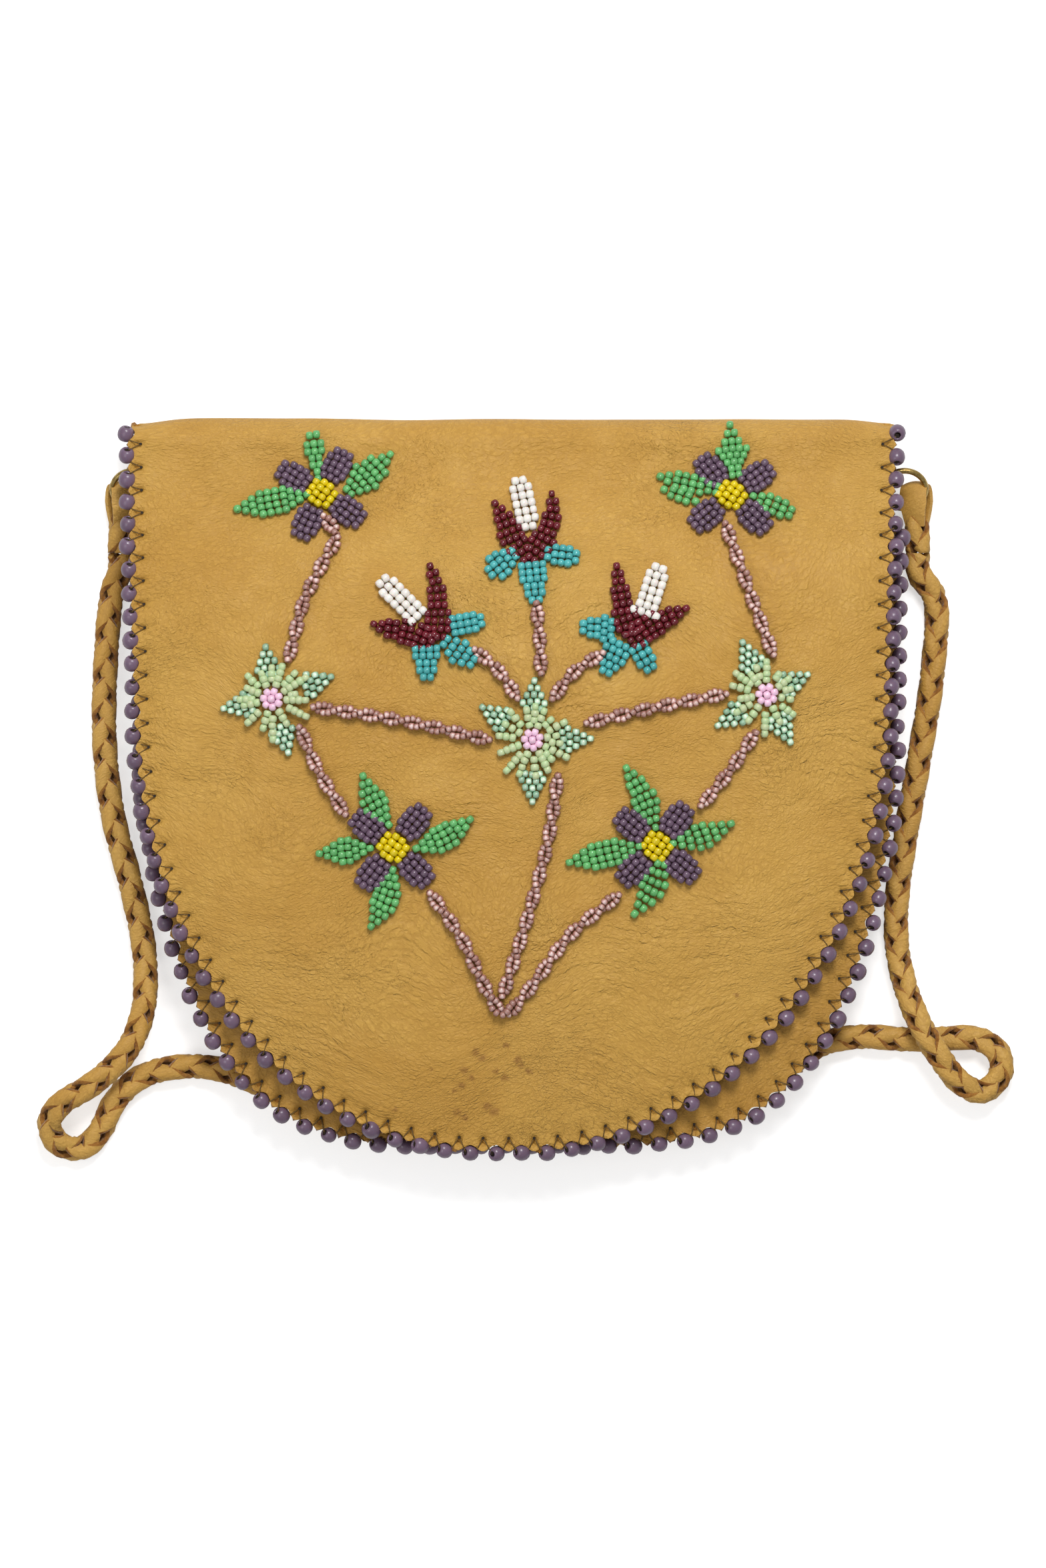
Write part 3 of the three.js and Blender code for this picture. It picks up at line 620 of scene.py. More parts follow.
# Painted shade: the body panels are the flap's hide painted darker.
SHADED_BODY_HIDE = HideFinish("body_hide", light=(198, 151, 66), base=(184, 135, 52), dark=(138, 93, 30))
LACE_HIDE = HideFinish("lace_hide", light=(212, 168, 84), base=(198, 150, 66), dark=(150, 104, 40),
                       relief=0.6)
SUEDE = SuedeFinish("suede")
CUT_EDGE = SuedeFinish("cut_edge", light=(176, 124, 58), dark=(128, 80, 32))
EDGE_BEADS = BeadFinish("edge_bead_glass", (112, 90, 111), roughness=0.34, spread=0.1, glow=0.1)
PLUM_BEADS = BeadFinish("plum_glass", (102, 80, 99), spread=0.12)
YELLOW_BEADS = BeadFinish("yellow_glass", (222, 198, 0), spread=0.07, glow=0.1)
GREEN_BEADS = BeadFinish("green_glass", (102, 178, 106), spread=0.1, glow=0.1)
MAROON_BEADS = BeadFinish("maroon_glass", (104, 20, 34), spread=0.18, roughness=0.2)
WHITE_BEADS = BeadFinish("white_glass", (238, 233, 226), spread=0.04, glow=0.2)
TURQUOISE_BEADS = BeadFinish("turquoise_glass", (76, 172, 172), spread=0.1)
SAGE_BEADS = BeadFinish("sage_glass", (202, 216, 168), other=(182, 204, 154), spread=0.1,
                        roughness=0.42, glow=0.15)
# Lined green beads: the pale colour is a painted highlight along each bead's top, the darker one
# painted shade below.
LUSTRE_BEADS = LinedFinish("lined_green_glass", glass=(150, 192, 160), shaded_glass=(100, 148, 118),
                           lining_highlight=(228, 240, 222))
PINK_BEADS = BeadFinish("pink_glass", (244, 202, 226), spread=0.05, glow=0.15)
# Lined mauve beads: a painted highlight along each bead's top, and painted shade below.
MAUVE_BEADS = LinedFinish("lined_mauve_glass")
STITCH_THREAD = ThreadFinish("stitch_thread", (126, 96, 46))
CORE_THREAD = ThreadFinish("core_thread", (54, 42, 32))
BRASS = BrassFinish("dull_brass")


# Pieces


def finish_piece(name: str, mesh: bpy.types.Mesh, finishes: Sequence[Finish], body: Body | None,
                 nodes: Sequence[str] = ()) -> bpy.types.Object:
    """Put a mesh in the scene as a piece that rides on a body.

    Args:
        name: The piece's name.
        mesh: Its mesh, in millimetres.
        finishes: The finishes of its material slots.
        body: The body that it rides on, or None for a piece that rides on none.
        nodes: The solids that it stands for.

    Returns:
        The new object.
    """
    mesh.transform(Matrix.Scale(MM, 4))
    for finish in finishes:
        mesh.materials.append(finish.material())
    mesh.name = name
    piece = bpy.data.objects.new(name, mesh)
    bpy.context.scene.collection.objects.link(piece)
    if body is not None:
        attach(piece, body.value)
    if nodes:
        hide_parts(*nodes)
    LOG.info("%s: %d faces", name, len(mesh.polygons))
    return piece


def to_mesh(bm: bmesh.types.BMesh, name: str) -> bpy.types.Mesh:
    """Turn a bmesh into a mesh with smooth shading, and free it.

    Args:
        bm: The bmesh.
        name: The mesh's name.

    Returns:
        The new mesh.
    """
    for face in bm.faces:
        face.smooth = True
    mesh = bpy.data.meshes.new(name)
    bm.to_mesh(mesh)
    bm.free()
    return mesh


def apply_modifiers(piece: bpy.types.Object) -> None:
    """Make the result of a piece's modifiers its mesh.

    Args:
        piece: The piece.
    """
    graph = bpy.context.evaluated_depsgraph_get()
    mesh = bpy.data.meshes.new_from_object(piece.evaluated_get(graph))
    piece.modifiers.clear()
    piece.data = mesh
    mesh.set_sharp_from_angle(angle=SHARP_ANGLE)


def thicken(piece: bpy.types.Object, thickness: float) -> None:
    """Give a sheet of hide its thickness, with suede on its inner face and its cut edges.

    Args:
        piece: The sheet, with its outer face as it is.
        thickness: The thickness in millimetres.
    """
    shell = piece.modifiers.new("thickness", "SOLIDIFY")
    shell.thickness = thickness * MM
    shell.offset = -1.0
    shell.material_offset = 1
    shell.material_offset_rim = 1
    apply_modifiers(piece)


# The form of the bag, as the solids have it


def smooth(value: Array) -> Array:
    """Ease a share from 0 to 1."""
    share = np.clip(value, 0.0, 1.0)
    return share * share * (3 - 2 * share)


def swell(distance: Array, width: float) -> Array:
    """Give a soft bump that is 1 at no distance and fades over a width."""
    return np.exp(-((distance / width) ** 2))


@dataclass(frozen=True)
class Outline:
    """Half the width of a panel at each height, inside the line of its edge beads."""

    width: float
    bottom: float
    straight_end: float
    taper: float
    power_y: float
    power_x: float
    last_row: float = 0.997

    def drop(self, y: Array, inset: float = 0.0) -> Array:
        """Say how far round its lower curve a height lies, from 0 to nearly 1.

        Args:
            y: Heights on the bag.
            inset: Distance inside the bead line.

        Returns:
            The shares.
        """
        reach = self.straight_end - self.bottom - inset
        return np.clip((self.straight_end - np.asarray(y, dtype=float)) / reach, 0.0, self.last_row)

    def half(self, y: Array, inset: float = 0.0) -> Array:
        """Give half the width.

        Args:
            y: Heights on the bag.
            inset: Distance inside the bead line.

        Returns:
            The half widths.
        """
        straight = self.width / 2 - inset - self.taper * (FOLD_Y - np.asarray(y, dtype=float))
        return straight * (1 - self.drop(y, inset) ** self.power_y) ** (1 / self.power_x)

    def rows(self, share: Array, top: float, inset: float, straight_share: float) -> Array:
        """Spread rows from the top edge to the bottom, closer where the outline turns in.

        Args:
            share: Where each row is, from 0 at the top to 1 at the bottom.
            top: The height of the top edge.
            inset: Distance inside the bead line.
            straight_share: The share of the rows above the curve.

        Returns:
            The rows' heights.
        """
        down = np.clip(share / straight_share, 0.0, 1.0)
        around = np.clip((share - straight_share) / (1 - straight_share), 0.0, 1.0)
        reach = (self.straight_end - self.bottom - inset) * self.last_row
        straight = top + (self.straight_end - top) * down
        return np.where(share <= straight_share, straight,
                        self.straight_end - reach * np.sin(around * math.pi / 2))


BODY_OUTLINE = Outline(231.0, -107.0, 2.0, 0.02, 1.515, 4.57)
FLAP_OUTLINE = Outline(232.0, -108.8, 18.8, 0.03, 1.96, 2.21)


def body_centre(y: Array) -> Array:
    """Give the middle of the body at a height."""
    return np.zeros_like(np.asarray(y, dtype=float))


def flap_centre(y: Array) -> Array:
    """Give the middle of the flap at a height."""
    return FLAP_OFFSET_X + FLAP_SKEW_X * FLAP_OUTLINE.drop(y) ** 2


def seam_height(y: Array) -> Array:
    """Give the height of the seam between the back and the front panel."""
    top = LEATHER + SEAM_GAP / 2
    return top + (SEAM_HEIGHT - top) * smooth((FOLD_START - np.asarray(y)) / SEAM_RISE_SPAN)


def flap_rim_height(y: Array) -> Array:
    """Give the height of the flap's outer face at its rim."""
    y = np.asarray(y, dtype=float)
    turn = np.clip((y - FOLD_START) / FOLD_DEPTH, 0.0, 1.0)
    on_fold = HINGE_HEIGHT + (FOLD_HEIGHT - HINGE_HEIGHT) * np.sqrt(1 - turn**2)
    below = FOLD_HEIGHT + (FLAP_RIM_HEIGHT - FOLD_HEIGHT) * smooth((FOLD_START - y) / RIM_RISE_SPAN)
    return np.where(y > FOLD_START, on_fold, below)


def flap_rise(y: Array) -> Array:
    """Give how far the flap's crown stands above its rim."""
    share = smooth((FOLD_START - np.asarray(y, dtype=float)) / CROWN_RISE_SPAN)
    return (CROWN_HEIGHT - FLAP_RIM_HEIGHT) * share


def flap_top(x: Array, y: Array) -> Array:
    """Give the height of the flap's outer face."""
    across = np.clip(np.abs(x - flap_centre(y)) / FLAP_OUTLINE.half(y), 0.0, 1.0)
    fullness = (1 - across**2.4) * (1 - FLAP_OUTLINE.drop(y) ** 3)
    return flap_rim_height(y) + flap_rise(y) * fullness


def front_top(x: Array, y: Array) -> Array:
    """Give the height of the front panel's outer face."""
    rim = seam_height(y) + SEAM_GAP / 2 + LEATHER
    crown = flap_rim_height(y) + flap_rise(y) - LEATHER - REST_GAP
    across = np.clip(np.abs(x) / BODY_OUTLINE.half(y, LEATHER_INSET), 0.0, 1.0)
    return rim + (crown - rim) * (1 - across**2) * (1 - BODY_OUTLINE.drop(y, LEATHER_INSET) ** 2)


def back_under(x: Array, y: Array) -> Array:
    """Give the height of the back panel's outer face, which lies on the floor."""
    across = np.clip(np.abs(x) / BODY_OUTLINE.half(y, LEATHER_INSET), 0.0, 1.0)
    outward = 1 - (1 - across**2) * (1 - BODY_OUTLINE.drop(y, LEATHER_INSET) ** 2)
    rise = np.clip((outward - BACK_FLAT_SHARE) / (1 - BACK_FLAT_SHARE), 0.0, 1.0)
    return (seam_height(y) - SEAM_GAP / 2 - LEATHER) * rise**1.1


class EdgeLine:
    """The line that a string of edge beads follows, from the top left round to the top right."""

    SIDE_PITCH = 7.05
    ROUND_PITCH = 7.65
    PITCH_CHANGE_SPAN = 50.0
    SAMPLES = 900
    CHUNK = 4000

    def __init__(self, outline: Outline, top: float, centre: Callable[[Array], Array],
                 height: Callable[[Array], Array]) -> None:
        """Lay the line and share the beads out along it.

        Args:
            outline: The panel's outline.
            top: Height at which the string starts and ends.
            centre: Gives the middle of the panel at a height.
            height: Gives the height of the beads' centres above the floor.
        """
        y = outline.rows(np.linspace(0, 1, self.SAMPLES), top, 0.0, 0.3)
        left = np.stack([centre(y) - outline.half(y), y, height(y)], axis=1)
        right = left[::-1] * [-1, 1, 1] + np.stack([2 * centre(y[::-1]), 0 * y, 0 * y], axis=1)
        self.points = np.concatenate([left, right])
        steps = np.linalg.norm(np.diff(self.points, axis=0), axis=1)
        middle = (self.points[1:, 1] + self.points[:-1, 1]) / 2
        change = self.PITCH_CHANGE_SPAN
        on_curve = smooth((outline.straight_end + change / 2 - middle) / change)
        pitch = self.SIDE_PITCH + (self.ROUND_PITCH - self.SIDE_PITCH) * on_curve
        counted = np.concatenate([[0.0], np.cumsum(steps / pitch)])
        self.beads = int(round(counted[-1]))
        self.count = counted * self.beads / counted[-1]
        turn = np.gradient(self.points, axis=0)
        self.tangents = turn / np.linalg.norm(turn, axis=1)[:, None]
        out = np.stack([self.tangents[:, 1], -self.tangents[:, 0]], axis=1)
        self.outward = out / np.linalg.norm(out, axis=1)[:, None]

    def at(self, count: float) -> tuple[Vector, Vector]:
        """Find a place on the line.

        Args:
            count: Beads passed from the start. A half is the middle of a bead.

        Returns:
            The place and the direction of travel.
        """
        place = [np.interp(count, self.count, self.points[:, k]) for k in range(3)]
        along = [np.interp(count, self.count, self.tangents[:, k]) for k in range(3)]
        return Vector(place), Vector(along).normalized()

    def nearest(self, xy: Array) -> tuple[Array, Array, Array]:
        """Find the nearest place on the line to each point.

        Args:
            xy: Points, one to a row.

        Returns:
            Distances inside the line, beads passed there, and the outward directions.
        """
        inside, count, outward = [], [], []
        step = np.gradient(self.count)
        length = np.linalg.norm(np.gradient(self.points, axis=0), axis=1)
        for chunk in np.array_split(xy, max(1, len(xy) // self.CHUNK)):
            gap = chunk[:, None, :] - self.points[None, :, :2]
            index = np.argmin((gap**2).sum(axis=2), axis=1)
            offset = chunk - self.points[index, :2]
            inside.append(-(offset * self.outward[index]).sum(axis=1))
            shift = (offset * self.tangents[index, :2]).sum(axis=1)
            count.append(self.count[index] + shift * step[index] / length[index])
            outward.append(self.outward[index])
        return np.concatenate(inside), np.concatenate(count), np.concatenate(outward)


def flap_bead_height(y: Array) -> Array:
    """Give the height of the flap's edge beads."""
    return flap_rim_height(y) - LEATHER / 2


FLAP_EDGE = EdgeLine(FLAP_OUTLINE, 109.6, flap_centre, flap_bead_height)
BODY_EDGE = EdgeLine(BODY_OUTLINE, 79.0, body_centre, seam_height)


# Leather panels


@dataclass
class LeatherPanel:
    """A panel of soft hide, puckered along its edge by the stitches that hold the beads."""

    name: str
    outline: Outline
    edge: EdgeLine
    centre: Callable[[Array], Array]
    height: Heights
    top: float
    finish: Finish
    nodes: tuple[str, ...]
    columns: int
    rows: int
    straight_share: float = 0.36
    faces_up: bool = True
    ripple: float = 0.4
    apex: float = 4.6
    pitch: float = 7.3
    sheet: float = LEATHER - 0.2

    def spread(self, share: Array) -> Array:
        """Bring columns closer together towards both edges.

        Args:
            share: Even shares of the half width, from -1 to 1.

        Returns:
            The new shares.
        """
        return 0.2 * share + 0.8 * np.sin(share * math.pi / 2)

    def lay(self, across: Array, down: Array) -> Array:
        """Bring points of a flat grid to the panel's outline and heights.

        Args:
            across: Shares of the half width, from -1 to 1.
            down: Shares of the length, from 0 at the top to 1 at the bottom.

        Returns:
            The places, one to a row.
        """
        y = self.outline.rows(down, self.top, LEATHER_INSET, self.straight_share)
        x = self.centre(y) + self.spread(across) * self.outline.half(y, LEATHER_INSET)
        return np.stack([x, y, self.height(x, y)], axis=1)

    def pucker(self, places: Array) -> Array:
        """Draw the edge in at each stitch and let it bulge between the beads.

        Args:
            places: The vertices' places.

        Returns:
            The new places.
        """
        inside, count, outward = self.edge.nearest(places[:, :2])
        along = (count - np.round(count)) * self.pitch
        between = np.cos(2 * math.pi * count)
        near = np.clip(self.edge.points[0, 1] + 3 - places[:, 1], 0.0, 1.0)
        if self.faces_up:
            above = places[:, 2] - self.height(places[:, 0], places[:, 1])
            near = near * np.clip(above + 2, 0.0, 1.0)
        push = (1.25 + 0.95 * between) * swell(inside - LEATHER_INSET, 2.0) * near
        places[:, :2] += outward * push[:, None]
        up = 1.0 if self.faces_up else -1.0
        puff = 0.7 * np.maximum(between, 0) * swell(inside - 3.0, 1.0)
        hole = 1.5 * np.exp(-(((inside - self.apex) / 0.8) ** 2) - (along / 0.8) ** 2)
        arm = np.abs(np.abs(along) - (self.apex - inside) * 0.9)
        crease = 0.5 * swell(arm, 0.6) * ((inside < self.apex) & (inside > 1))
        fan = 0.14 * np.cos(along * 3.4) * swell(inside - 6.6, 1.7)
        draw = 0.4 * swell(inside - self.apex, 2.2) * (0.6 + 0.4 * between)
        places[:, 2] += up * near * (puff - hole - crease + fan - draw)
        return places

    def wrinkle(self, places: Array) -> Array:
        """Give the hide its soft waves.

        Args:
            places: The vertices' places.

        Returns:
            The new places.
        """
        up = 1.0 if self.faces_up else -1.0
        for place in places:
            low = noise.noise(Vector((place[0] * 0.028, place[1] * 0.034, 3.1)))
            high = noise.noise(Vector((place[0] * 0.1, place[1] * 0.07, 7.7)))
            place[2] += up * (self.ripple * low + 0.5 * self.ripple * high)
        return places

    def build(self) -> bpy.types.Object:
        """Make the panel with its thickness.

        Returns:
            The finished piece.
        """
        bm = bmesh.new()
        bmesh.ops.create_grid(bm, x_segments=self.columns, y_segments=self.rows, size=1.0)
        flat = np.array([vertex.co[:2] for vertex in bm.verts])
        places = self.pucker(self.wrinkle(self.lay(flat[:, 0], (1 - flat[:, 1]) / 2)))
        for vertex, place in zip(bm.verts, places):
            vertex.co = place
        if not self.faces_up:
            bmesh.ops.reverse_faces(bm, faces=bm.faces)
        piece = finish_piece(self.name, to_mesh(bm, self.name), (self.finish, SUEDE), self.rides(),
                             self.nodes)
        thicken(piece, self.sheet)
        return piece

    def rides(self) -> Body | None:
        """Say that the panel rides on the bag."""
        return Body.BAG


@dataclass
class FoldedFlap(LeatherPanel):
    """The flap, which comes out of the back panel over the top fold."""

    fold_share: float = 0.1
    overhang: float = 0.55

    def lay(self, across: Array, down: Array) -> Array:
        """Roll the first rows over the fold, and lay the others down the front.

        Args:
            across: Shares of the half width, from -1 to 1.
            down: Shares of the length, from 0 at the back to 1 at the flap's lowest edge.

        Returns:
            The places, one to a row.
        """
        front = super().lay(across, np.clip((down - self.fold_share) / (1 - self.fold_share), 0, 1))
        turn = (np.clip(down / self.fold_share, 0, 1) - 0.5) * math.pi
        to_flap = (1 + np.sin(turn)) / 2
        back_half = self.back_half()
        front_half = float(self.outline.half(FOLD_START, LEATHER_INSET))
        half = back_half + (front_half - back_half) * to_flap
        x = to_flap * FLAP_OFFSET_X + self.spread(across) * half
        rise = np.where(turn > 0, FOLD_HEIGHT - HINGE_HEIGHT, HINGE_HEIGHT)
        wave = np.array([0.5 * noise.noise(Vector((value * 0.03, 0.4, 1.0))) for value in x])
        corner = 1.4 * swell(half - np.abs(x - to_flap * FLAP_OFFSET_X), 9.0)
        reach = FOLD_DEPTH + (self.overhang + wave - corner) * np.cos(turn)
        y, z = FOLD_START + reach * np.cos(turn), HINGE_HEIGHT + rise * np.sin(turn)
        fold = np.stack([x, y, z], axis=1)
        return np.where((down < self.fold_share)[:, None], fold, front)

    def back_half(self) -> float:
        """Give half the back panel's width where the fold starts."""
        return float(BODY_OUTLINE.half(FOLD_START, LEATHER_INSET))

    def wrinkle(self, places: Array) -> Array:
        """Give the hide its soft waves below the fold.

        Args:
            places: The vertices' places.

        Returns:
            The new places.
        """
        before = places[:, 2].copy()
        places = super().wrinkle(places)
        share = smooth((FOLD_START + 2 - places[:, 1]) / 14)
        places[:, 2] = before + (places[:, 2] - before) * share
        return places

    def rides(self) -> Body | None:
        """Say that the flap rides on no body."""
        return None

    def build(self) -> bpy.types.Object:
        """Make the flap and bake its place into its mesh.

        Returns:
            The finished piece.
        """
        piece = super().build()
        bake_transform(piece)
        return piece


# Beads


@dataclass(frozen=True)
class BeadShape:
    """A glass bead: a rounded barrel with a hole along it."""

    diameter: float
    length: float
    hole: float
    segments: int = 8
    rounding: tuple[Point2, ...] = ((0.6, 0.96), (0.93, 0.62), (1.0, 0.0), (0.93, -0.62),
                                    (0.6, -0.96))

    def mesh(self) -> bpy.types.Mesh:
        """Spin the bead's section round its hole.

        Returns:
            The bead's mesh, with its hole along z.
        """
        bm = bmesh.new()
        radius, half, hole = self.diameter / 2, self.length / 2, self.hole / 2
        section = [(hole, 0.9 * half), *((radius * r, half * h) for r, h in self.rounding),
                   (hole, -0.9 * half)]
        ring = [bm.verts.new((x, 0.0, z)) for x, z in section]
        edges = [bm.edges.new(pair) for pair in zip(ring, ring[1:] + ring[:1])]
        bmesh.ops.spin(bm, geom=ring + edges, cent=(0, 0, 0), axis=(0, 0, 1), dvec=(0, 0, 0),
                       angle=2 * math.pi, steps=self.segments, use_merge=True)
        bmesh.ops.remove_doubles(bm, verts=bm.verts, dist=0.001)
        bmesh.ops.recalc_face_normals(bm, faces=bm.faces)
        return to_mesh(bm, "bead")


BARREL = ((0.54, 0.95), (0.72, 0.82), (0.88, 0.6), (0.97, 0.32), (1.0, 0.0), (0.97, -0.32),
          (0.88, -0.6), (0.72, -0.82), (0.54, -0.95))
SEED_SHAPE = BeadShape(2.5, 2.12, 0.7)
CUP_SHAPE = BeadShape(2.5, 2.02, 0.6)
STAMEN_SHAPE = BeadShape(2.75, 2.35, 0.7)
RAY_SHAPE = BeadShape(2.6, 2.08, 0.9)
LUSTRE_SHAPE = BeadShape(2.3, 1.9, 0.6)
STEM_SHAPE = BeadShape(2.25, 1.76, 0.6)
EDGE_SHAPE = BeadShape(EDGE_BEAD + 0.1, 4.7, 1.9, 16, BARREL)


class BeadField:
    """Many beads of one shape and finish, made as one piece."""

    def __init__(self, shape: BeadShape, seed: int) -> None:
        """Start an empty field.

        Args:
            shape: The beads' shape.
            seed: What their small differences start from.
        """
        self.template = shape.mesh()
        self.bm = bmesh.new()
        self.tone = self.bm.verts.layers.float.new("tone")
        self.core = self.bm.verts.layers.float.new("core")
        self.radius = shape.diameter / 2
        self.chance = random.Random(seed)

    def add(self, centre: Vector, axis: Vector, up: Vector, size: float = 1.0,
            loose: float = 1.0) -> None:
        """Add a bead.

        Args:
            centre: Its middle.
            axis: The direction of its hole.
            up: A direction away from what carries it.
            size: Its scale.
            loose: How far it may stray from its place.
        """
        chance = self.chance
        stray = [chance.gauss(0, 1) for _ in range(4)]
        side = up.cross(axis).normalized()
        turned = (axis + side * 0.09 * loose * stray[0] + up * 0.07 * loose * stray[1]).normalized()
        third = turned.cross(side).normalized()
        side = third.cross(turned)
        spin = Matrix((side, third, turned)).transposed().to_4x4()
        moved = centre + side * 0.05 * loose * stray[2]
        scale = size * (1 + 0.03 * stray[3])
        first = len(self.bm.verts)
        self.bm.from_mesh(self.template)
        self.bm.verts.ensure_lookup_table()
        fresh = self.bm.verts[first:]
        place = Matrix.Translation(moved) @ spin @ Matrix.Scale(scale, 4)
        bmesh.ops.transform(self.bm, matrix=place, verts=fresh)
        shade = chance.random()
        for vertex in fresh:
            vertex[self.tone] = shade
            # core: each vertex's height towards up, from -1 to 1, which the lined beads use to
            # paint a highlight on top and shade below.
            vertex[self.core] = (vertex.co - moved).dot(up) / (self.radius * scale)

    def build(self, name: str, finish: Finish, body: Body, nodes: Sequence[str],
              slot: str) -> bpy.types.Object:
        """Make the piece.

        Args:
            name: Its name.
            finish: The beads' finish.
            body: The body that it rides on.
            nodes: The solids that it stands for.
            slot: Not used.

        Returns:
            The finished piece.
        """
        bpy.data.meshes.remove(self.template)
        return finish_piece(name, to_mesh(self.bm, name), (finish,), body, nodes)


def tubes(name: str, paths: Iterable[Sequence[Vector]], radius: float) -> bpy.types.Mesh:
    """Make thin tubes as one mesh.

    Args:
        name: The mesh's name.
        paths: The tubes' middle lines.
        radius: Their radius.

    Returns:
        The mesh.
    """
    curve = bpy.data.curves.new(name, "CURVE")
    curve.dimensions = "3D"
    curve.bevel_depth = radius
    curve.bevel_resolution = 1
    curve.use_fill_caps = True
    for path in paths:
        spline = curve.splines.new("POLY")
        spline.points.add(len(path) - 1)
        for point, place in zip(spline.points, path):
            point.co = (*place, 1.0)
    holder = bpy.data.objects.new(name, curve)
    mesh = bpy.data.meshes.new_from_object(holder)
    bpy.data.objects.remove(holder)
    bpy.data.curves.remove(curve)
    for face in mesh.polygons:
        face.use_smooth = True
    return mesh


@dataclass
class EdgeBeading:
    """A string of large beads along an edge, with the V shaped stitches that hold it."""

    name: str
    edge: EdgeLine
    surface: Heights
    body: Body
    node: str
    seed: int
    both_faces: Heights | None = None
    tilt: float = 0.6
    yaw: float = 0.16
    apex: float = 4.6
    hole_reach: float = 1.7
    knot_height: float = 0.75

    def bead_axis(self, along: Vector, outward: Vector) -> Vector:
        """Tip a bead so that its trailing hole looks up and a little inwards.

        Args:
            along: The direction of travel.
            outward: The direction away from the panel.

        Returns:
            The direction of its hole.
        """
        lifted = along * math.cos(self.tilt) - Vector((0, 0, 1)) * math.sin(self.tilt)
        return (lifted + outward * self.yaw).normalized()

    def build(self) -> None:
        """Make the beads and their stitches."""
        beads = BeadField(EDGE_SHAPE, self.seed)
        chance = random.Random(self.seed + 1)
        holes = []
        for index in range(self.edge.beads):
            centre, along = self.edge.at(index + 0.5)
            outward = Vector((along.y, -along.x, 0)).normalized()
            axis = self.bead_axis(along, outward)
            centre += outward * chance.uniform(-0.25, 0.25) + along * chance.uniform(-0.2, 0.2)
            beads.add(centre, axis, outward, 1 + chance.uniform(-0.03, 0.03), 1.3)
            reach = axis * self.hole_reach
            holes.append((centre - reach, centre + reach))
        beads.build(self.name, EDGE_BEADS, self.body, (self.node,), "edge_beads")
        paths = self.stitches(holes, self.surface, 1.0)
        if self.both_faces:
            paths += self.stitches(holes, self.both_faces, -1.0)
        inside = [[first + (last - first) * share for share in (-0.08, 1.08)]
                  for first, last in holes]
        knots = [[path[0], path[0].lerp(path[1], 0.2) + Vector((0, 0, self.knot_rise(path)))]
                 for path in paths]
        for part, lines, radius, finish in (("stitches", paths, 0.18, STITCH_THREAD),
                                            ("core_thread", inside, 0.9, CORE_THREAD),
                                            ("knots", knots, 0.36, CORE_THREAD)):
            name = f"{self.name}_{part}"
            finish_piece(name, tubes(name, lines, radius), (finish,), self.body, ())

    def knot_rise(self, path: Sequence[Vector]) -> float:
        """Give how far a stitch's knot comes up out of its hole."""
        return self.knot_height if path[1].z > path[0].z else -self.knot_height

    def stitches(self, holes: list[tuple[Vector, Vector]], surface: Heights,
                 up: float) -> list[list[Vector]]:
        """Lay the two arms of each stitch from its hole in the hide to the beads beside it.

        Args:
            holes: Both ends of each bead's hole.
            surface: Gives the height of the hide's outer face.
            up: 1 for a face that looks up, -1 for one that looks down.

        Returns:
            The middle line of each arm.
        """
        paths = []
        for index in range(1, self.edge.beads):
            place, along = self.edge.at(float(index))
            inward = Vector((-along.y, along.x, 0)).normalized()
            apex = place + inward * self.apex
            apex.z = float(surface(apex.x, apex.y)) - up * 1.0
            for bead, end in ((index, 0), (index - 1, 1)):
                target = holes[bead][end]
                over = apex.lerp(target, 0.2)
                over.z = float(surface(over.x, over.y)) - up * 0.25
                rim = apex.lerp(target, 0.6)
                rim.z = float(surface(rim.x, rim.y)) + up * 0.15
                paths.append([apex, over, rim, target])
        return paths


# Beadwork on the flap


def on_flap(x: float, y: float, lift: float) -> tuple[Vector, Vector]:
    """Find a place above the flap's outer face.

    Args:
        x: Across the flap.
        y: Up the flap.
        lift: Distance from the face.

    Returns:
        The place, and the direction away from the face.
    """
    step = 0.2
    reach = min(y, FOLD_Y - 1)
    slope_x = float(flap_top(x + step, reach) - flap_top(x - step, reach)) / (2 * step)
    slope_y = float(flap_top(x, reach + step) - flap_top(x, reach - step)) / (2 * step)
    normal = Vector((-slope_x, -slope_y, 1)).normalized()
    return Vector((x, y, float(flap_top(x, y)))) + normal * lift, normal


def lay_bead(beads: BeadField, place: Point2, direction: Point2, lift: float) -> None:
    """Lay a bead on the flap.

    Args:
        beads: The field that it joins.
        place: Its place on the flap.
        direction: The direction of its hole, seen from above.
        lift: Height of its middle above the hide.
    """
    centre, normal = on_flap(place[0], place[1], lift)
    flat = Vector((direction[0], direction[1], 0.0))
    axis = (flat - normal * flat.dot(normal)).normalized()
    beads.add(centre, axis, normal)


